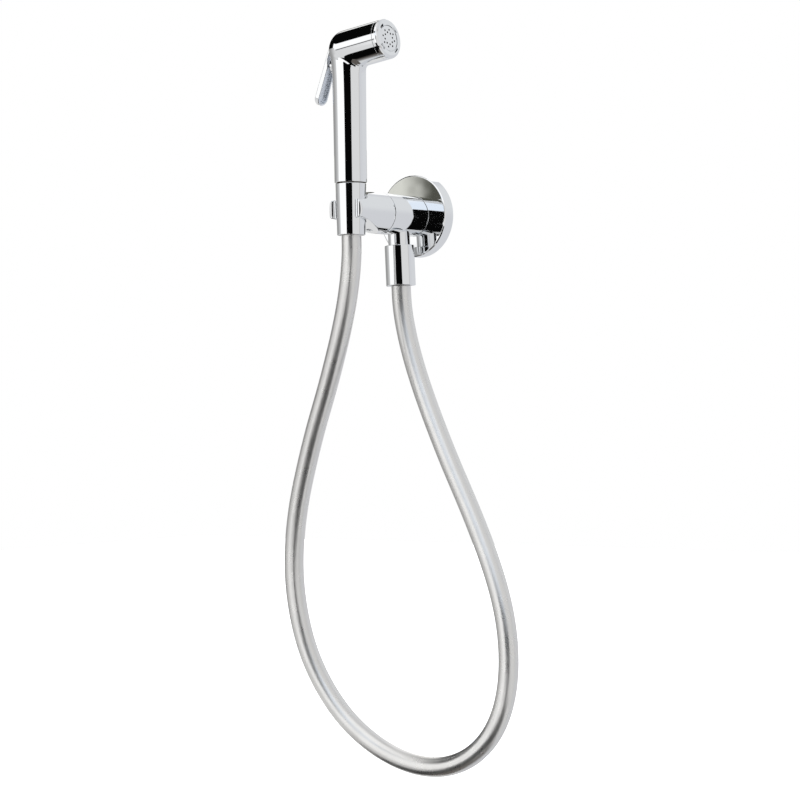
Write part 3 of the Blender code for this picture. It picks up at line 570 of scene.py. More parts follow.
# Studio panels as (right, left, bottom, top, brightness, soft sideways, soft upwards, tint): the first two are
# degrees turned to the camera's left about the object, the next two degrees above the horizon. A panel with no
# tint is white. Later ones cover earlier ones.
PANELS = (
    (-70, -11.5, -90, 90, 0.74, 1.0, 1.0),
    (-181, -70, -90, 90, 0.68, 1.5, 1.0, (0.975, 0.99, 1.03)),
    (-73, -69.5, -40, 40, 0.48, 1.0, 1.0, (1.04, 1.0, 0.97)),
    (-150, -95, 8, 60, 0.76, 10.0, 12.0, (0.98, 1.0, 1.02)),
    (-190, -162, 10, 60, 1.1, 1.5, 6.0),
    (108, 260, -16, 60, 0.33, 30.0, 5.0, (1.0, 1.0, 0.99)),
    (37, 93, 1.5, 24, 1.1, 0.8, 0.8),
    (93, 106, 8.4, 24, 1.1, 0.8, 0.6),
    (12, 73.5, -20, 4, 1.1, 0.8, 0.8),
    (-14, 79, 20, 90, 1.1, 1.0, 1.0),
    (-11.5, 50, 20, 41, 1.0, 1.0, 3.0, (0.90, 0.975, 1.08)),
    (48.5, 56.5, 30.5, 42, 0.01, 0.6, 1.0),
    (79, 181, 24, 49, 0.002, 0.6, 0.6),
    (104, 181, 8.6, 49, 0.002, 0.4, 0.4),
    (157, 190, 31, 49, 1.0, 2.0, 2.0, (1.0, 0.99, 0.97)),
    (172, 190, 4, 33, 1.0, 1.5, 2.0, (1.0, 0.99, 0.97)),
    (73, 82, -3.4, -0.4, 0.02, 0.5, 0.5),
    (37, 150, -61, -35, 0.002, 0.8, 0.8),
    (37, 69, -58, -20, 0.002, 0.8, 0.8),
    (-30, 46, -56, -20, 0.002, 0.5, 0.5),
    (-5, 10.5, -22, -1.5, 0.002, 0.5, 0.5),
    (-80, 165, -90, -60, 0.1, 3.0, 2.0, (1.1, 0.97, 0.87)),
    (-11.5, 37, -2, 20.6, 0.002, 0.5, 0.5),
)
WHITE = (1.0, 1.0, 1.0)
BASE_LIGHT = 0.74

# The small card's left, right, bottom and top edge and its distance ahead of the wall, in millimetres; where
# it starts and ends to darken from left to right, in metres; and how far its clouds move that
CARD = (-75.0, 1.0, 17.4, 48.0, -58.0)
CARD_FADE, CARD_CLOUDS = (-0.032, 0.002), 0.03
CARD_LIGHT, CARD_DARK = (0.72, 0.72, 0.66, 1), (0.085, 0.085, 0.07, 1)

FLOOR_PAPER, FLOOR_ROUGH = (0.9, 0.9, 0.9, 1), 0.9


def add_camera():
    azimuth, pitch, roll = (math.radians(a) for a in (CAMERA_AZIMUTH, CAMERA_PITCH, CAMERA_ROLL))
    along = Vector((-math.sin(azimuth) * math.cos(pitch), math.cos(azimuth) * math.cos(pitch), math.sin(pitch)))
    level = Vector((math.cos(azimuth), math.sin(azimuth), 0))
    above = level.cross(along)
    right = level * math.cos(roll) + above * math.sin(roll)
    up = above * math.cos(roll) - level * math.sin(roll)
    data = bpy.data.cameras.new("photo_camera")
    data.lens, data.sensor_width = CAMERA_LENS, CAMERA_SENSOR
    data.clip_start, data.clip_end = 0.05, 50.0
    camera = bpy.data.objects.new("photo_camera", data)
    place = Matrix((right, up, -along)).transposed().to_4x4()
    place.translation = Vector(CAMERA_AT) * MM
    camera.matrix_world = place
    bpy.context.collection.objects.link(camera)
    bpy.context.scene.camera = camera


def add_studio_light():
    """Soft panels all round, worked out from a ray's direction: each is a smooth-edged box of angles."""
    world = bpy.data.worlds.new("studio")
    bpy.context.scene.world = world
    world.use_nodes = True
    tree = world.node_tree
    tree.nodes.clear()
    ray = node(tree, "TexCoord").outputs["Generated"]
    azimuth = math.radians(CAMERA_AZIMUTH)
    to_left, to_camera = (-math.cos(azimuth), -math.sin(azimuth), 0), (math.sin(azimuth), -math.cos(azimuth), 0)
    dots = [node(tree, "VectorMath", {0: ray, 1: axis}, operation="DOT_PRODUCT").outputs["Value"]
            for axis in (to_left, to_camera)]
    height = node(tree, "SeparateXYZ", {"Vector": ray}).outputs["Z"]
    turn = maths(tree, "DEGREES", maths(tree, "ARCTAN2", *dots))
    rise = maths(tree, "DEGREES", maths(tree, "ARCSINE", height))
    colour = (BASE_LIGHT, BASE_LIGHT, BASE_LIGHT, 1)
    for right, left, bottom, top, brightness, sideways, upwards, *tint in PANELS:
        mask = 1.0
        for angle, low, high, soft in ((turn, right, left, sideways), (rise, bottom, top, upwards)):
            for start, end in ((low - soft, low + soft), (high + soft, high - soft)):
                mask = maths(tree, "MULTIPLY", mask, spread(tree, angle, start, end))
        panel = (*(brightness * t for t in (tint[0] if tint else WHITE)), 1)
        colour = mixed(tree, mask, colour, panel)
    studio = node(tree, "Background", {"Color": colour})
    plain = node(tree, "Background", {"Color": (*WHITE, 1), "Strength": bpy.context.scene.spray_stage.backdrop})
    seen = node(tree, "LightPath").outputs["Is Camera Ray"]
    choose = node(tree, "MixShader", {0: seen, 1: studio.outputs["Background"], 2: plain.outputs["Background"]})
    node(tree, "OutputWorld", {"Surface": choose.outputs["Shader"]})


def stage_plane(name, corners, mat, hidden_from):
    """A flat piece of the stage that the named kinds of rays pass."""
    mesh = bpy.data.meshes.new(name)
    mesh.from_pydata(corners, [], [(0, 1, 2, 3)])
    mesh.materials.append(mat)
    plane = bpy.data.objects.new(name, mesh)
    for rays in hidden_from:
        setattr(plane, "visible_" + rays, False)
    bpy.context.collection.objects.link(plane)


def add_card():
    """A small card behind the fork that only the wall flange mirrors: light grey that darkens to the right.

    It shows in reflections alone, and gives the plate the shaded look it has against a wall."""
    left, right, bottom, top, ahead = (c * MM for c in CARD)
    mat = bpy.data.materials.new("flange_card")
    mat.use_nodes = True
    tree = mat.node_tree
    tree.nodes.clear()
    place = node(tree, "TexCoord").outputs["Object"]
    across = node(tree, "SeparateXYZ", {"Vector": place}).outputs["X"]
    bent = maths(tree, "MULTIPLY_ADD", noise(tree, place, 55.0, 1.0), CARD_CLOUDS, across)
    shade = mixed(tree, spread(tree, bent, *CARD_FADE), CARD_LIGHT, CARD_DARK)
    glow = node(tree, "Emission", {"Color": shade})
    node(tree, "OutputMaterial", {"Surface": glow.outputs["Emission"]})
    corners = [(left, ahead, bottom), (right, ahead, bottom), (right, ahead, top), (left, ahead, top)]
    stage_plane("flange_card", corners, mat, ("camera", "diffuse", "shadow", "transmission"))


def add_floor():
    """A plain pale floor below the hose, which runs into the backdrop and can't be seen from below."""
    stage = bpy.context.scene.spray_stage
    half, height = stage.floor_width / 2, stage.floor_height
    mat, tree, paper = new_material("floor_paper")
    feed(tree, paper, {"Base Color": FLOOR_PAPER, "Roughness": FLOOR_ROUGH, "Emission Color": (*WHITE, 1),
                       "Emission Strength": stage.backdrop})
    clear = node(tree, "BsdfTransparent").outputs["BSDF"]
    below = node(tree, "NewGeometry").outputs["Backfacing"]
    mix = node(tree, "MixShader", {0: below, 1: paper.outputs["BSDF"], 2: clear})
    feed(tree, tree.nodes["Material Output"], {"Surface": mix.outputs["Shader"]})
    corners = [(-half, -half, height), (half, -half, height), (half, half, height), (-half, half, height)]
    stage_plane("floor", corners, mat, ("glossy", "diffuse", "shadow"))


# ---------------------------------------------------------------- hose

HOSE_STEP, HOSE_SIDES = 2.0, 64  # the distance between two rings of the skin, and their sides


def hose_line():
    """The natural cubic curve through the route: each stretch is a cubic, with equal bends where two meet."""
    knots = np.array(HOSE_ROUTE, float)
    at = distance_along(knots)
    span = np.diff(at)
    count = len(knots)
    system = np.eye(count)
    right = np.zeros_like(knots)
    for i in range(1, count - 1):
        system[i, i - 1:i + 2] = span[i - 1], 2 * (span[i - 1] + span[i]), span[i]
        right[i] = 6 * ((knots[i + 1] - knots[i]) / span[i] - (knots[i] - knots[i - 1]) / span[i - 1])
    bend = np.linalg.solve(system, right)
    wanted = np.linspace(0, at[-1], round(at[-1] / HOSE_STEP) + 1)
    i = np.clip(np.searchsorted(at, wanted, side="right") - 1, 0, count - 2)
    h = span[i][:, None]
    a, b = (at[i + 1] - wanted)[:, None], (wanted - at[i])[:, None]
    cubic = (bend[i] * a**3 + bend[i + 1] * b**3) / (6 * h)
    return cubic + (knots[i] / h - bend[i] * h / 6) * a + (knots[i + 1] / h - bend[i + 1] * h / 6) * b


def hose_surface(radius):
    """A circle carried along the hose's line, square to it, from a spoke that stays as near to Y as it can."""
    centre = hose_line()
    tangent = unit(np.gradient(centre, axis=0))
    sideways = unit(Y - (tangent @ Y)[:, None] * tangent)
    return tube(centre, tangent, sideways, radius, HOSE_SIDES, distance_along(centre) * MM), centre


# ---------------------------------------------------------------- wall outlet

def flange_surface(radius, depth):
    """The cover plate: a turned-back rim with a bevel, and a face crowned by half a millimetre.

    The crown falls with the square of the radius, so its slope grows evenly from the middle outwards."""
    bevel, crown, rim, hole = 0.8, 0.5, 2.3, 13.3
    edge, inner = depth - crown, radius - rim
    radii = np.linspace(radius - bevel - 0.6, hole + 0.9, 12)
    face = [(r, depth - crown * (r / radius)**2, 60.0) for r in radii]
    line = rounded([(radius, 0, 0.3), (radius, edge - bevel, 0.5), (radius - bevel, edge, 0.5), *face,
                    (hole, depth - 0.1, 0.25), (hole, depth - 1.9, 0.2), (inner, depth - 2.1, 0.8),
                    (inner, 0, 0.2)], closed=True)
    return lathe(line, WALL, FRONT, 192)


def arm_surfaces(radius):
    """The arm, its socket at the wall and the post for the fork; and the outlet spigot, rooted inside it."""
    arm = rounded([(0, 36, 0), (7, 36, 0.3), (7, 19.4, 0.2), (10.6, 19.4, 0.2), (10.6, 1, 0.4), (13, 1, 0.3),
                   (13, 11.3, 0.1), (radius, 11.3, 0.3), (radius, 51.4, 0.15), (7.5, 51.4, 0.1), (7.5, 68, 0.3),
                   (0, 68, 0)])
    spigot = rounded([(0, 10, 0), (8.4, 10, 0.1), (8.4, 24.2, 0.2), (10.2, 24.2, 0.3), (10.2, 36, 0.4),
                      (7.2, 36, 0.2), (7.2, 25, 0.2), (0, 25, 0)])
    return [lathe(arm, WALL, FRONT), lathe(spigot, OUTLET, OUTLET_DOWN, 96)]


def nipple_surface():
    """A threaded tube. Its outer radius falls from the crest in a V with a flat top and root, which climbs
    one pitch a turn; the V eases down at both ends. The skin's normal leans with both slopes of the radius."""
    crest, pitch, depth, back, front, bore, chamfer = 10.3, 1.814, 1.0, -18.0, 16.0, 6.5, 0.8
    steepness = 1.35
    height = np.linspace(back, front, 339)
    angle = np.linspace(0, 2 * np.pi, 97)
    phase = height[:, None] / pitch - angle[None] / (2 * np.pi)
    tooth = np.clip(0.5 + steepness * (0.5 - np.abs(2 * (phase - np.floor(phase)) - 1)), 0, 1)
    from_end = np.minimum(height - back, front - height)[:, None]
    radius = crest - depth * (1 - tooth) - chamfer * np.clip(1 - from_end / chamfer, 0, 1)
    outward, onward = (turned(angle, X, np.cross(FRONT, X)) for turned in (swing, swing_slope))
    skin = radius[..., None] * outward + height[:, None, None] * FRONT
    along = np.gradient(radius, height, axis=0)[..., None]
    sideways = (np.gradient(radius, angle, axis=1) / radius)[..., None]
    facing = unit(outward - along * FRONT - sideways * onward)
    inner_back, inner_front = (bore * outward + h * FRONT for h in (back, front))
    flat = np.broadcast_to(FRONT, inner_back.shape)
    points = np.stack([inner_back, skin[0], *skin, skin[-1], inner_front, inner_front, inner_back])
    normals = np.stack([-flat, -flat, *facing, flat, flat, -outward, -outward])
    return patch(points, normals)


# ---------------------------------------------------------------- holder fork

FORK_BACK, FORK_TIP, FORK_ARM_R = 51.7, 94.4, 15.8
# The fork's upper and lower line, as heights at distances ahead of the wall
FORK_TOP = ((44.0, 17.8), (50.0, 17.0), (56.0, 16.3), (62.0, 15.6), (70.0, 14.9), (75.5, 14.0), (78.5, 12.4),
            (81.0, 10.4), (84.0, 9.0), (88.0, 8.6), (92.8, 8.4), (99.0, 8.2))
FORK_UNDER = ((44.0, -19.6), (50.0, -18.0), (54.0, -17.0), (57.5, -16.0), (62.0, -14.4), (67.0, -12.7),
              (74.0, -10.4), (80.0, -8.3), (86.0, -6.6), (92.8, -5.9), (99.0, -5.6))
TOP_SLOPE, UNDER_SLOPE = 0.93, 0.95  # make the fields of the two lines about as steep as a distance
PRONG_START, PRONG_LENGTH = 82.0, 8.0  # where the edges become rounder, ahead of the wall
PRONG_MIDDLE, PRONG_HALF, TIP_BEND = 13.4, 3.2, 0.3
SEAT_R, SEAT_TAPER = 11.45, 0.0238
# The rings of the fork end this far round the seat's axis, and look for its inside from this radius outwards
FORK_TURN, FORK_INNER_R, FORK_HALF = math.radians(121.45), 11.3, 16


def fork_field(points):
    """The fork as the greatest of its bounds, below zero inside: the arm's cylinder, the upper and lower
    lines, the back and tip planes, and the tapered seat of the hand spray. The tips fall back from the
    prong's middle with the square of the distance."""
    across, ahead, high = points[..., 0], -points[..., 1], points[..., 2]
    cylinder = np.hypot(across, high) - FORK_ARM_R
    top = (high - smooth_line(FORK_TOP, ahead)) * TOP_SLOPE
    under = (smooth_line(FORK_UNDER, ahead) - high) * UNDER_SLOPE
    prong = np.clip((ahead - PRONG_START) / PRONG_LENGTH, 0, 1)
    shape = smooth_max(cylinder, smooth_max(top, under, 0.5), 0.55 + 3.0 * prong)
    from_middle = np.minimum(np.abs(np.abs(across) - PRONG_MIDDLE), PRONG_HALF)
    shape = smooth_max(shape, ahead - FORK_TIP + TIP_BEND * from_middle**2, 1.2)
    shape = smooth_max(shape, FORK_BACK - ahead, 0.5)
    seat = SEAT_R + SEAT_TAPER * high - np.hypot(across, ahead + SPRAY[1])
    return smooth_max(shape, seat, 0.6 + 2.0 * prong)


def fork_surface():
    """Half-planes turned round the seat's axis cut the fork in closed rings.

    In each one rays leave the deepest point of the cut, spaced by how far and how much the skin turns."""
    across_limit, softness, least_depth, bend_weight, crowding = 0.1, 8.0, -0.02, 2.5, 1.25
    farthest, from_axis = 40.0, 1.0
    part = np.linspace(-1, 1, 241)
    turn = FORK_TURN * np.sign(part) * (1 - (1 - np.abs(part))**crowding)
    spoke = swing(turn, Y, X)
    seat_to_back, seat_to_tip = -SPRAY[1] - FORK_BACK, FORK_TIP + SPRAY[1]
    outer = np.minimum(FORK_ARM_R / np.maximum(np.abs(np.sin(turn)), across_limit),
                       np.minimum(seat_to_back / np.maximum(np.cos(turn), across_limit),
                                  seat_to_tip / np.maximum(-np.cos(turn), across_limit)))
    radius = FORK_INNER_R + (outer[:, None] - FORK_INNER_R) * np.linspace(0, 1, 73)
    height = np.linspace(-FORK_HALF, FORK_HALF, 129)
    flat = SPRAY + radius[:, :, None, None] * spoke[:, None, None] + height[:, None] * Z
    depth = fork_field(flat)
    deepest = depth.min((1, 2), keepdims=True)
    weight = np.exp(softness * (depth - deepest) / np.minimum(deepest, least_depth))
    weight /= weight.sum((1, 2), keepdims=True)
    mid_r = (weight.sum(2) * radius).sum(1)
    mid_z = weight.sum(1) @ height
    centres = (SPRAY + mid_r[:, None] * spoke + mid_z[:, None] * Z)[:, None]

    def ring(angle):
        reach = np.minimum(farthest, (mid_r[:, None] - from_axis) / np.maximum(np.cos(angle), LEAST_COSINE))
        skin = cast(fork_field, centres, swing(angle, -spoke[:, None], Z), reach)
        return skin, field_normals(fork_field, skin)

    fine = np.tile(np.linspace(0, 2 * np.pi, 1201), (len(turn), 1))
    skin, facing = ring(fine)
    steps = [np.linalg.norm(np.diff(values, axis=1), axis=-1) for values in (skin, facing)]
    length = np.concatenate([np.zeros((len(turn), 1)), np.cumsum(steps[0] + bend_weight * steps[1], 1)], 1)
    length /= length[:, -1:]
    even = np.linspace(0, 1, 145)
    skin, facing = ring(np.stack([np.interp(even, row, fine[0]) for row in length]))
    skin[:, -1], facing[:, -1] = skin[:, 0], facing[:, 0]
    ends = [np.broadcast_to(skin[i].mean(0), skin[i].shape)[None] for i in (0, -1)]
    tips = [np.broadcast_to(unit(facing[i].mean(0)), skin[i].shape)[None] for i in (0, -1)]
    return patch(np.concatenate([ends[0], skin, ends[1]]), np.concatenate([tips[0], facing, tips[1]]))


# ---------------------------------------------------------------- hand spray

FAN_AT = np.array([16.6, -86.5, 105.2])  # the line in the inner corner that the fan of rings turns about
SWEEP = math.pi / 2 - HEAD_TILT
HANDLE_FOOT, HANDLE_R, HANDLE_RISE = 21.6, 12.3, 100.1
HEAD_R, NOSE_R, HEAD_END = 15.2, 13.0, 34.9
JUNCTION_START, JUNCTION_SPAN = 1.0, 10.5  # where the round of the junction starts to widen, and over how far
BOSS_R, BOSS_END = 7.0, 13.6
JET_R, JETS_A_RING = 0.76, 8
JET_RINGS = ((4.56, 10.0), (6.71, 32.5))  # radius, and the first jet's place in degrees


def handle_shape(high):
    """The handle's radius and how far its middle moves to the lever's side.

    12.3 mm at the foot, then a slow swell, and near the head a quick flare on the lever's side only."""
    part = np.clip((high - HANDLE_FOOT) / HANDLE_RISE, 0, 1)
    flare = 0.9 * part**8
    return HANDLE_R + 0.55 * part**1.3 + flare, 0.08 * part + flare


def body_field(points):
    """Handle, round-backed head and valve boss, run together with a round that widens to the inner corner."""
    local = points - SPRAY
    radius, shift = handle_shape(local[..., 2])
    handle = np.hypot(local[..., 0] + shift, local[..., 1]) - radius
    handle = smooth_max(handle, local[..., 2] - HEAD[2], 2.0)
    from_head = points - HEAD
    along = from_head @ HEAD_AXIS
    head = np.linalg.norm(from_head - np.maximum(along, 0)[..., None] * HEAD_AXIS, axis=-1) - HEAD_R
    widening = np.clip((local[..., 0] - JUNCTION_START) / JUNCTION_SPAN, 0, 1)
    body = smooth_min(handle, head, 1.1 + 4.4 * widening**1.3)
    boss = np.hypot(local[..., 1], local[..., 2] - VALVE[2]) - BOSS_R
    boss = smooth_max(boss, np.maximum(-local[..., 0] - BOSS_END, local[..., 0]), 0.3)
    return smooth_min(body, boss, 0.5)


def body_surface():
    """Closed rings from the handle's foot to the head's nose.

    Rings are level up the handle, then lie in half-planes that fan out from a line in the inner corner,
    and end square to the head's axis. In each, rays leave the middle at even angles."""
    angle = np.linspace(0, 2 * np.pi, 193)
    foot, foot_facing = rounded([(0, 21.2, 0), (HANDLE_R - 0.02, 21.2, 0.4), (HANDLE_R, 22.5, 0)])
    nose, nose_facing = rounded([(HEAD_R, 33.0, 0), (HEAD_R, 34.0, 0.3), (NOSE_R, 34.0, 0.1),
                                 (NOSE_R, HEAD_END, 0.2), (0, HEAD_END, 0)])
    fan_end, last_ring, nose_reach, farthest = 14.465, 32.5, 18.4, 34.0
    rise = np.linspace(23.0, FAN_AT[2], 30)
    fan = np.linspace(0, SWEEP, 121)[1:]
    ahead = np.linspace(fan_end, last_ring, 14)[1:]
    tilt = np.concatenate([np.zeros(len(rise)), fan, np.full(len(ahead), SWEEP)])
    out = np.stack([-np.cos(tilt), np.zeros_like(tilt), np.sin(tilt)], -1)
    share = fan / SWEEP
    reach = np.concatenate([np.full(len(rise), FAN_AT[0]),
                            FAN_AT[0] + 1.8 * share + 4.0 * np.sin(np.pi * share),
                            np.full(len(ahead), nose_reach)])
    middle = FAN_AT + out * reach[:, None]
    middle[:len(rise), 2] = rise
    middle[-len(ahead):] = HEAD + HEAD_AXIS * ahead[:, None]
    limit = np.minimum(farthest, reach[:, None] / np.maximum(-np.cos(angle)[None], LEAST_COSINE))
    skin = cast(body_field, middle[:, None], swing(angle, out[:, None], Y), limit)
    facing = field_normals(body_field, skin)
    low_ray, end_ray = swing(angle, -X, Y), swing(angle, out[-1], Y)
    points = [placed(foot, low_ray, Z, SPRAY), skin, placed(nose, end_ray, HEAD_AXIS, HEAD)]
    normals = [placed(foot_facing, low_ray, Z), facing, placed(nose_facing, end_ray, HEAD_AXIS)]
    return patch(np.concatenate(points), np.concatenate(normals))


def lever_place(down, inward, across):
    return PIVOT + down[..., None] * LEVER_DOWN + inward[..., None] * LEVER_IN + across[..., None] * Y


def lever_surface():
    """The channel's cross line carried round a hairpin: down one side, round the tip and up the other.

    The line runs from the middle of the outer face over the edge, up the wall, over the rim and down to
    the middle of the floor. Insets are taken from the hairpin, so both sides meet on the middle line. The
    rim's height over the floor is a function of the distance from the pivot."""
    centre, tip_half, top_half, wall, back = 37.4, 5.5, 4.6, 1.5, -5.3
    rim_start, rim_span, rim_low, rim_high = 6.6, 7.4, -3.62, -1.3
    side = np.concatenate([[0.0], np.linspace(0.8, 6.5, 9), np.linspace(7, 15, 17),
                           np.linspace(16, centre, 16)])
    arc = np.linspace(0, np.pi, 41)[1:-1]
    down = np.concatenate([side, centre + 0 * arc, side[::-1]])
    width = top_half + (tip_half - top_half) * side / centre
    half = np.concatenate([width, np.full(len(arc), tip_half), width[::-1]])
    out = np.concatenate([np.tile((0.0, -1.0), (len(side), 1)), np.stack([np.sin(arc), -np.cos(arc)], -1),
                          np.tile((0.0, 1.0), (len(side), 1))])
    part = np.clip((down - rim_start) / rim_span, 0, 1)
    rim = rim_low + (rim_high - rim_low) * part * part * (3 - 2 * part)
    floor = np.where(down < rim_start, -3.66, -3.7)
    points, facing = [], []
    for place, width, way, top, low in zip(down, half, out, rim, floor):
        line, normal = rounded([(-width, back, 0), (0, back, 0.7), (0, top, 0.45), (-wall, top, 0.45),
                                (-wall, low, 0.5), (-width, low, 0)], steps=6)
        inset = width + line[:, 0]
        points.append(lever_place(place + way[0] * inset, line[:, 1], way[1] * inset))
        facing.append(normal[:, :1] * (way[0] * LEVER_DOWN + way[1] * Y) + normal[:, 1:] * LEVER_IN)
    points, facing = np.array(points), np.array(facing)
    along = np.gradient(points, axis=0)
    length = (along**2).sum(-1, keepdims=True)
    facing = unit(facing - (facing * along).sum(-1, keepdims=True) * along / np.maximum(length, 1e-9))
    columns = points.shape[1]
    end = np.concatenate([np.arange(columns), np.arange(columns)[::-1] + (len(points) - 1) * columns])
    return patch(points, facing, caps=((end, -LEVER_DOWN),))


def knuckle_surface():
    """The lever's eye round its pin, and the neck that joins it to the arm."""
    eye = [(2.6 * math.cos(math.radians(a)), 2.6 * math.sin(math.radians(a)), 0.8) for a in range(20, 181, 20)]
    outline = rounded([(0.3, -4.9, 0.2), (4.8, -4.9, 0.2), (4.8, -4.2, 0.2), (3.6, -3.4, 0.8), *eye,
                       (-2.2, -2.8, 0.4)], closed=True, steps=4)
    return plate(outline, PIVOT, LEVER_DOWN, LEVER_IN, Y, 4.0, 0.3)


def ring_surfaces():
    """The threaded ring round the spray face: its line carried round, with four notches in the inner edge.

    Between the notches the lip runs in to the hole's edge. In a notch it stops at 11.9 mm, and two small walls
    along a spoke join the stretches. Half a notch is the arcsine of 2.4 over 11 mm."""
    thread, notch, hole, front, lip = 13.3, 11.9, 10.0, 38.9, 37.6
    outside = [(thread, 34.3, 0), (HEAD_R, 34.3, 0.15), (HEAD_R, 36.6, 0.9), (14.9, 37.7, 0.8),
               (14.1, 38.5, 0.8), (13.0, front, 0.6), (notch, front, 0)]
    inside = [(notch, lip, 0), (thread, lip, 0)]
    plain = rounded([*outside, (hole, front, 0), (hole, lip, 0), *inside], closed=True)
    sunk = rounded(outside + inside, closed=True)
    half, first_notch = math.asin(2.4 / 11.0), 40
    surfaces = []
    for middle in (math.radians(first_notch + 90 * i) for i in range(4)):
        start, end = middle - half, middle + half
        surfaces.append(lathe(sunk, HEAD, HEAD_AXIS, turns=np.linspace(start, end, 13)))
        surfaces.append(lathe(plain, HEAD, HEAD_AXIS, turns=np.linspace(end, middle + math.pi / 2 - half, 33)))
        for turn, side in ((start, 1.0), (end, -1.0)):
            out = math.cos(turn) * HEAD_RISE - math.sin(turn) * Y
            wall = np.array([[HEAD + out * r + HEAD_AXIS * s for r in (notch, hole)] for s in (front, lip)])
            surfaces.append(patch(wall, np.broadcast_to(np.cross(HEAD_AXIS, out) * side, wall.shape)))
    return surfaces


# The spray face: its boss's radius and front, its disc's radius, back and front
FACE_R, FACE_FRONT, DISC_R, DISC_BACK, DISC_FRONT = 9.7, 38.7, 12.9, 36.4, 37.3


def plate_surface():
    line = rounded([(0, DISC_BACK, 0), (DISC_R, DISC_BACK, 0), (DISC_R, DISC_FRONT, 0), (FACE_R, DISC_FRONT, 0),
                    (FACE_R, FACE_FRONT, 0.3), (0, FACE_FRONT, 0)])
    return lathe(line, HEAD, HEAD_AXIS)


def plate_field(points):
    """The spray face: a boss with a soft edge on a wider, thinner disc, below zero inside."""
    from_head = points - HEAD
    along = from_head @ HEAD_AXIS
    out = np.linalg.norm(from_head - along[..., None] * HEAD_AXIS, axis=-1)
    boss = np.maximum(smooth_max(out - FACE_R, along - FACE_FRONT, 0.5), DISC_BACK - along)
    middle, half = (DISC_BACK + DISC_FRONT) / 2, (DISC_FRONT - DISC_BACK) / 2
    return np.minimum(boss, np.maximum(out - DISC_R, np.abs(along - middle) - half))


def jet_surfaces():
    """Sixteen bores: two rings of eight, the outer one turned by a few degrees."""
    line = rounded([(0, 36.0, 0), (JET_R, 36.0, 0), (JET_R, 39.2, 0), (0, 39.2, 0)])
    surfaces = []
    for circle, first in JET_RINGS:
        for angle in np.radians(first) + np.arange(JETS_A_RING) * 2 * np.pi / JETS_A_RING:
            spot = HEAD + (Y * math.cos(angle) + HEAD_RISE * math.sin(angle)) * circle
            surfaces.append(lathe(line, spot, HEAD_AXIS, 20))
    return surfaces


# ---------------------------------------------------------------- springs

RINGS_A_TURN, WIRE_SIDES = 48, 16


def spring_surface(at, along, start, end, radius, wire, turns):
    """A wire carried along a helix: the spoke turns so many times while the height climbs from end to end."""
    part = np.linspace(0, 1, turns * RINGS_A_TURN + 1)
    angle = 2 * np.pi * turns * part
    spoke_0 = unit(np.cross(along, Y))
    spoke, onward = (turned(angle, spoke_0, np.cross(along, spoke_0)) for turned in (swing, swing_slope))
    rise = end - start - 2 * wire
    tangent = unit(radius * onward + rise / (2 * np.pi * turns) * along)
    centre = at + radius * spoke + (start + wire + rise * part)[:, None] * along
    return tube(centre, tangent, spoke, wire, WIRE_SIDES)


# ---------------------------------------------------------------- settings

class SprayStage(bpy.types.PropertyGroup):
    backdrop: FloatProperty(name="Backdrop", description="Brightness of the backdrop and floor", default=1.0,
                            min=0.0)
    floor_height: FloatProperty(name="Floor height", description="Height of the floor in the row frame",
                                default=-0.47, unit="LENGTH")
    floor_width: FloatProperty(name="Floor width", description="Width of the square floor", default=6.0,
                               unit="LENGTH")


class SprayFinish(bpy.types.PropertyGroup):
    chrome: FloatVectorProperty(name="Chrome", description="Tint of the polished chrome", subtype="COLOR",
                                default=(0.91, 0.92, 0.93), min=0.0, max=1.0)
    chrome_roughness: FloatProperty(name="Chrome roughness", description="Least roughness of the chrome",
                                    default=0.03, min=0.0, max=1.0)
    brass: FloatVectorProperty(name="Brass", description="Tint of the turned brass", subtype="COLOR",
                               default=(0.78, 0.6, 0.31), min=0.0, max=1.0)
    steel: FloatVectorProperty(name="Steel", description="Tint of springs, pins and screws", subtype="COLOR",
                               default=(0.62, 0.62, 0.63), min=0.0, max=1.0)
    rubber: FloatVectorProperty(name="Rubber", description="Tint of seals and the foam ring", subtype="COLOR",
                                default=(0.035, 0.035, 0.037), min=0.0, max=1.0)
    plastic: FloatVectorProperty(name="Plastic", description="Tint of the white moulded parts", subtype="COLOR",
                                 default=(0.86, 0.87, 0.86), min=0.0, max=1.0)
    hose: FloatVectorProperty(name="Hose", description="Tint of the silver hose", subtype="COLOR",
                              default=(0.86, 0.852, 0.835), min=0.0, max=1.0)
    hose_roughness: FloatProperty(name="Hose roughness", description="Roughness of the hose's skin",
                                  default=0.29, min=0.0, max=1.0)


class SpraySizes(bpy.types.PropertyGroup):
    flange_radius: FloatProperty(name="Flange radius", description="Radius of the wall flange", default=0.0319,
                                 unit="LENGTH")
    flange_depth: FloatProperty(name="Flange depth", description="How far the flange stands off the wall",
                                default=0.011, unit="LENGTH")
    arm_radius: FloatProperty(name="Arm radius", description="Radius of the arm and fork", default=0.0158,
                              unit="LENGTH")
    hose_radius: FloatProperty(name="Hose radius", description="Radius of the hose", default=0.0075,
                               unit="LENGTH")
    nut_radius: FloatProperty(name="Nut radius", description="Radius of the hose nut under the arm",
                              default=0.0114, unit="LENGTH")


# ---------------------------------------------------------------- operators

class SPRAYSET_OT_stage(bpy.types.Operator):
    """Add the camera, the studio light and the floor"""
    bl_idname = "spray_set.stage"
    bl_label = "Stage"

    def execute(self, context):
        context.scene.view_settings.view_transform = "Standard"
        add_camera()
        add_studio_light()
        add_card()
        add_floor()
        return {"FINISHED"}


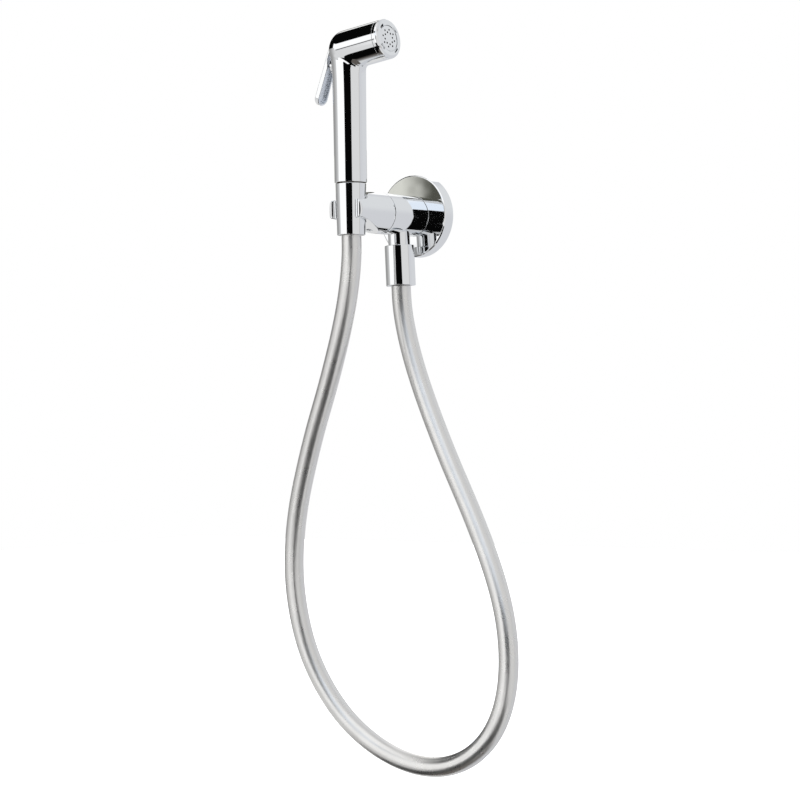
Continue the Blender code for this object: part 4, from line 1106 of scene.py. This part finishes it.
class SPRAYSET_OT_hose(bpy.types.Operator):
    """Add the silver hose, from the hand spray down and up to the outlet nut"""
    bl_idname = "spray_set.hose"
    bl_label = "Hose"

    def execute(self, context):
        radius = context.scene.spray_sizes.hose_radius / MM
        skin, centre = hose_surface(radius)
        hose = make_piece("silver_hose", [skin], hose_finish(), "silver_hose", None, "hose")
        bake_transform(hose)
        return {"FINISHED"}


class SPRAYSET_OT_wall_outlet(bpy.types.Operator):
    """Add the wall flange, the arm with its outlet spigot, the threaded nipple and the hose nut"""
    bl_idname = "spray_set.wall_outlet"
    bl_label = "Wall outlet"

    def execute(self, context):
        sizes = context.scene.spray_sizes
        flange = [flange_surface(sizes.flange_radius / MM, sizes.flange_depth / MM)]
        radius = sizes.nut_radius / MM
        nut = rounded([(10.5, 23.9, 0.3), (radius, 23.9, 0.4), (radius, 55.0, 0.5), (8.1, 55.0, 0.25),
                       (8.1, 40.5, 0.2), (10.5, 40.5, 0.2)], closed=True)
        chrome, brass = finish("polished_chrome"), finish("turned_brass")
        for name, patches, coat, slot, solid in (
                ("flange_cover", flange, chrome, "chrome", "wall_flange"),
                ("outlet_arm", arm_surfaces(sizes.arm_radius / MM), chrome, "chrome", "elbow_body"),
                ("threaded_nipple", [nipple_surface()], brass, "brass", "inlet_nipple"),
                ("hose_nut", [lathe(nut, OUTLET, OUTLET_DOWN)], chrome, "chrome", "outlet_nut")):
            make_piece(name, patches, coat, slot, "wall_outlet", solid)
        return {"FINISHED"}


class SPRAYSET_OT_holder_fork(bpy.types.Operator):
    """Add the fork that holds the hand spray"""
    bl_idname = "spray_set.holder_fork"
    bl_label = "Holder fork"

    def execute(self, context):
        fork = make_piece("holder_fork_casting", [fork_surface()], finish("polished_chrome"), "chrome",
                          "wall_outlet", "holder_fork")
        screw_at = np.array([0.0, -64.6, 0.0])
        hole = rounded([(0, 7.0, 0), (2.3, 7.0, 0.1), (2.3, 18.0, 0.1), (0, 18.0, 0)])
        post = rounded([(0, 50.0, 0), (7.8, 50.0, 0.1), (7.8, 68.3, 0.1), (0, 68.3, 0)])
        carve(fork, fork_field, lathe(hole, screw_at, -Z, 40), lathe(post, WALL, FRONT, 64))
        return {"FINISHED"}


class SPRAYSET_OT_handset(bpy.types.Operator):
    """Add the handle and head casting, the spray face in its ring, and the cone nut that stands in the fork"""
    bl_idname = "spray_set.handset"
    bl_label = "Hand spray"

    def execute(self, context):
        cone = rounded([(8.1, -18.5, 0.25), (10.71, -18.5, 0.5), (11.64, 20.5, 0.4), (10.2, 20.5, 0.3),
                        (10.2, 6.0, 0.2), (8.1, 6.0, 0.2)], closed=True)
        chrome = finish("polished_chrome")
        body = make_piece("spray_handle", [body_surface()], chrome, "chrome", "handset", "handset_body")
        carve(body, body_field, box_surface((-22, -90.9, 117.3), (-8.5, -82.1, 125.3)))
        make_piece("spray_face_ring", ring_surfaces(), chrome, "chrome", "handset", "face_ring")
        face = make_piece("spray_plate", [plate_surface()], chrome, "chrome", "handset", "spray_face")
        # The bores' walls take a near-black finish: painted shade inside the jets.
        carve(face, plate_field, *jet_surfaces(), inside=finish("dark_bore"))
        make_piece("cone_nut", [lathe(cone, SPRAY, Z)], chrome, "chrome", "handset", "handset_cone")
        return {"FINISHED"}


class SPRAYSET_OT_trigger(bpy.types.Operator):
    """Add the squeeze lever behind the handle, with a satin floor and inner walls"""
    bl_idname = "spray_set.trigger"
    bl_label = "Trigger lever"

    def execute(self, context):
        lever = make_piece("squeeze_lever", [lever_surface(), knuckle_surface()], finish("polished_chrome"),
                           "chrome", "trigger", "trigger_lever")
        lever.data.materials.append(finish("satin_chrome"))
        polygons = lever.data.polygons
        facing, middle = read(polygons, "normal", 3), read(polygons, "center", 3) / MM - PIVOT
        floor, inner_wall = facing @ LEVER_IN > 0.9, middle[:, 1] * facing[:, 1] < -0.8
        polygons.foreach_set("material_index", (floor | inner_wall).astype(np.int32))
        return {"FINISHED"}


class SPRAYSET_OT_springs(bpy.types.Operator):
    """Add the two springs, which shorten towards their fixed ends as their valves open"""
    bl_idname = "spray_set.springs"
    # Add the two springs
    bl_label = "Springs"

    def execute(self, context):
        for name, solid, at, along, ends, radius, wire, turns, body, joint, stroke in SPRINGS:
            coil = spring_surface(at, along, *ends, radius, wire, turns)
            piece = make_piece(name, [coil], finish("spring_steel"), "steel", body, solid)
            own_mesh(piece)
        return {"FINISHED"}


class SPRAYSET_OT_inner_parts(bpy.types.Operator):
    """Give the smaller solids their finishes"""
    bl_idname = "spray_set.inner_parts"
    bl_label = "Inner parts"

    def execute(self, context):
        finishes = {
            # The tail and gland take brass darkened as painted shade, for the gap between the cone nut and the
            # handle.
            "dark_brass": ("handset_tail", "stem_gland"),
            "spring_steel": ("inlet_strainer", "holder_screw", "outlet_ferrule", "handset_ferrule", "lever_pin",
                             "valve_stem"),
            "black_rubber": ("flange_gasket", "inlet_washer", "outlet_washer", "handset_washer", "tail_oring",
                             "stem_oring", "poppet_washer", "face_seal"),
            "white_plastic": ("check_valve_body", "check_valve_poppet", "valve_seat", "flow_plate"),
        }
        for name, solids in finishes.items():
            for solid in solids:
                frame["nodes"][solid].material_slots[0].material = finish(name)
        return {"FINISHED"}


class SPRAYSET_PT_panel(bpy.types.Panel):
    """Settings and pieces of the spray set"""
    bl_idname = "SPRAYSET_PT_panel"
    bl_label = "Spray Set"
    bl_space_type = "VIEW_3D"
    bl_region_type = "UI"
    bl_category = "Spray Set"

    def draw(self, context):
        scene = context.scene
        for settings in (scene.spray_sizes, scene.spray_finish, scene.spray_stage):
            box = self.layout.box()
            for label in settings.bl_rna.properties.keys():
                if label not in {"rna_type", "name"}:
                    box.prop(settings, label)
        for operator in OPERATORS:
            self.layout.operator(operator.bl_idname)


OPERATORS = (SPRAYSET_OT_stage, SPRAYSET_OT_hose, SPRAYSET_OT_wall_outlet, SPRAYSET_OT_holder_fork,
             SPRAYSET_OT_handset, SPRAYSET_OT_trigger, SPRAYSET_OT_springs, SPRAYSET_OT_inner_parts)
CLASSES = (SprayStage, SprayFinish, SpraySizes, *OPERATORS, SPRAYSET_PT_panel)


def register():
    for cls in CLASSES:
        bpy.utils.register_class(cls)
    bpy.types.Scene.spray_stage = PointerProperty(type=SprayStage)
    bpy.types.Scene.spray_finish = PointerProperty(type=SprayFinish)
    bpy.types.Scene.spray_sizes = PointerProperty(type=SpraySizes)


def unregister():
    del bpy.types.Scene.spray_sizes
    del bpy.types.Scene.spray_finish
    del bpy.types.Scene.spray_stage
    for cls in reversed(CLASSES):
        bpy.utils.unregister_class(cls)


def main():
    register()
    bpy.ops.spray_set.stage()
    bpy.ops.spray_set.hose()
    bpy.ops.spray_set.wall_outlet()
    bpy.ops.spray_set.holder_fork()
    bpy.ops.spray_set.handset()
    bpy.ops.spray_set.trigger()
    bpy.ops.spray_set.springs()
    bpy.ops.spray_set.inner_parts()
    bpy.context.view_layer.update()


if __name__ == "__main__":
    main()
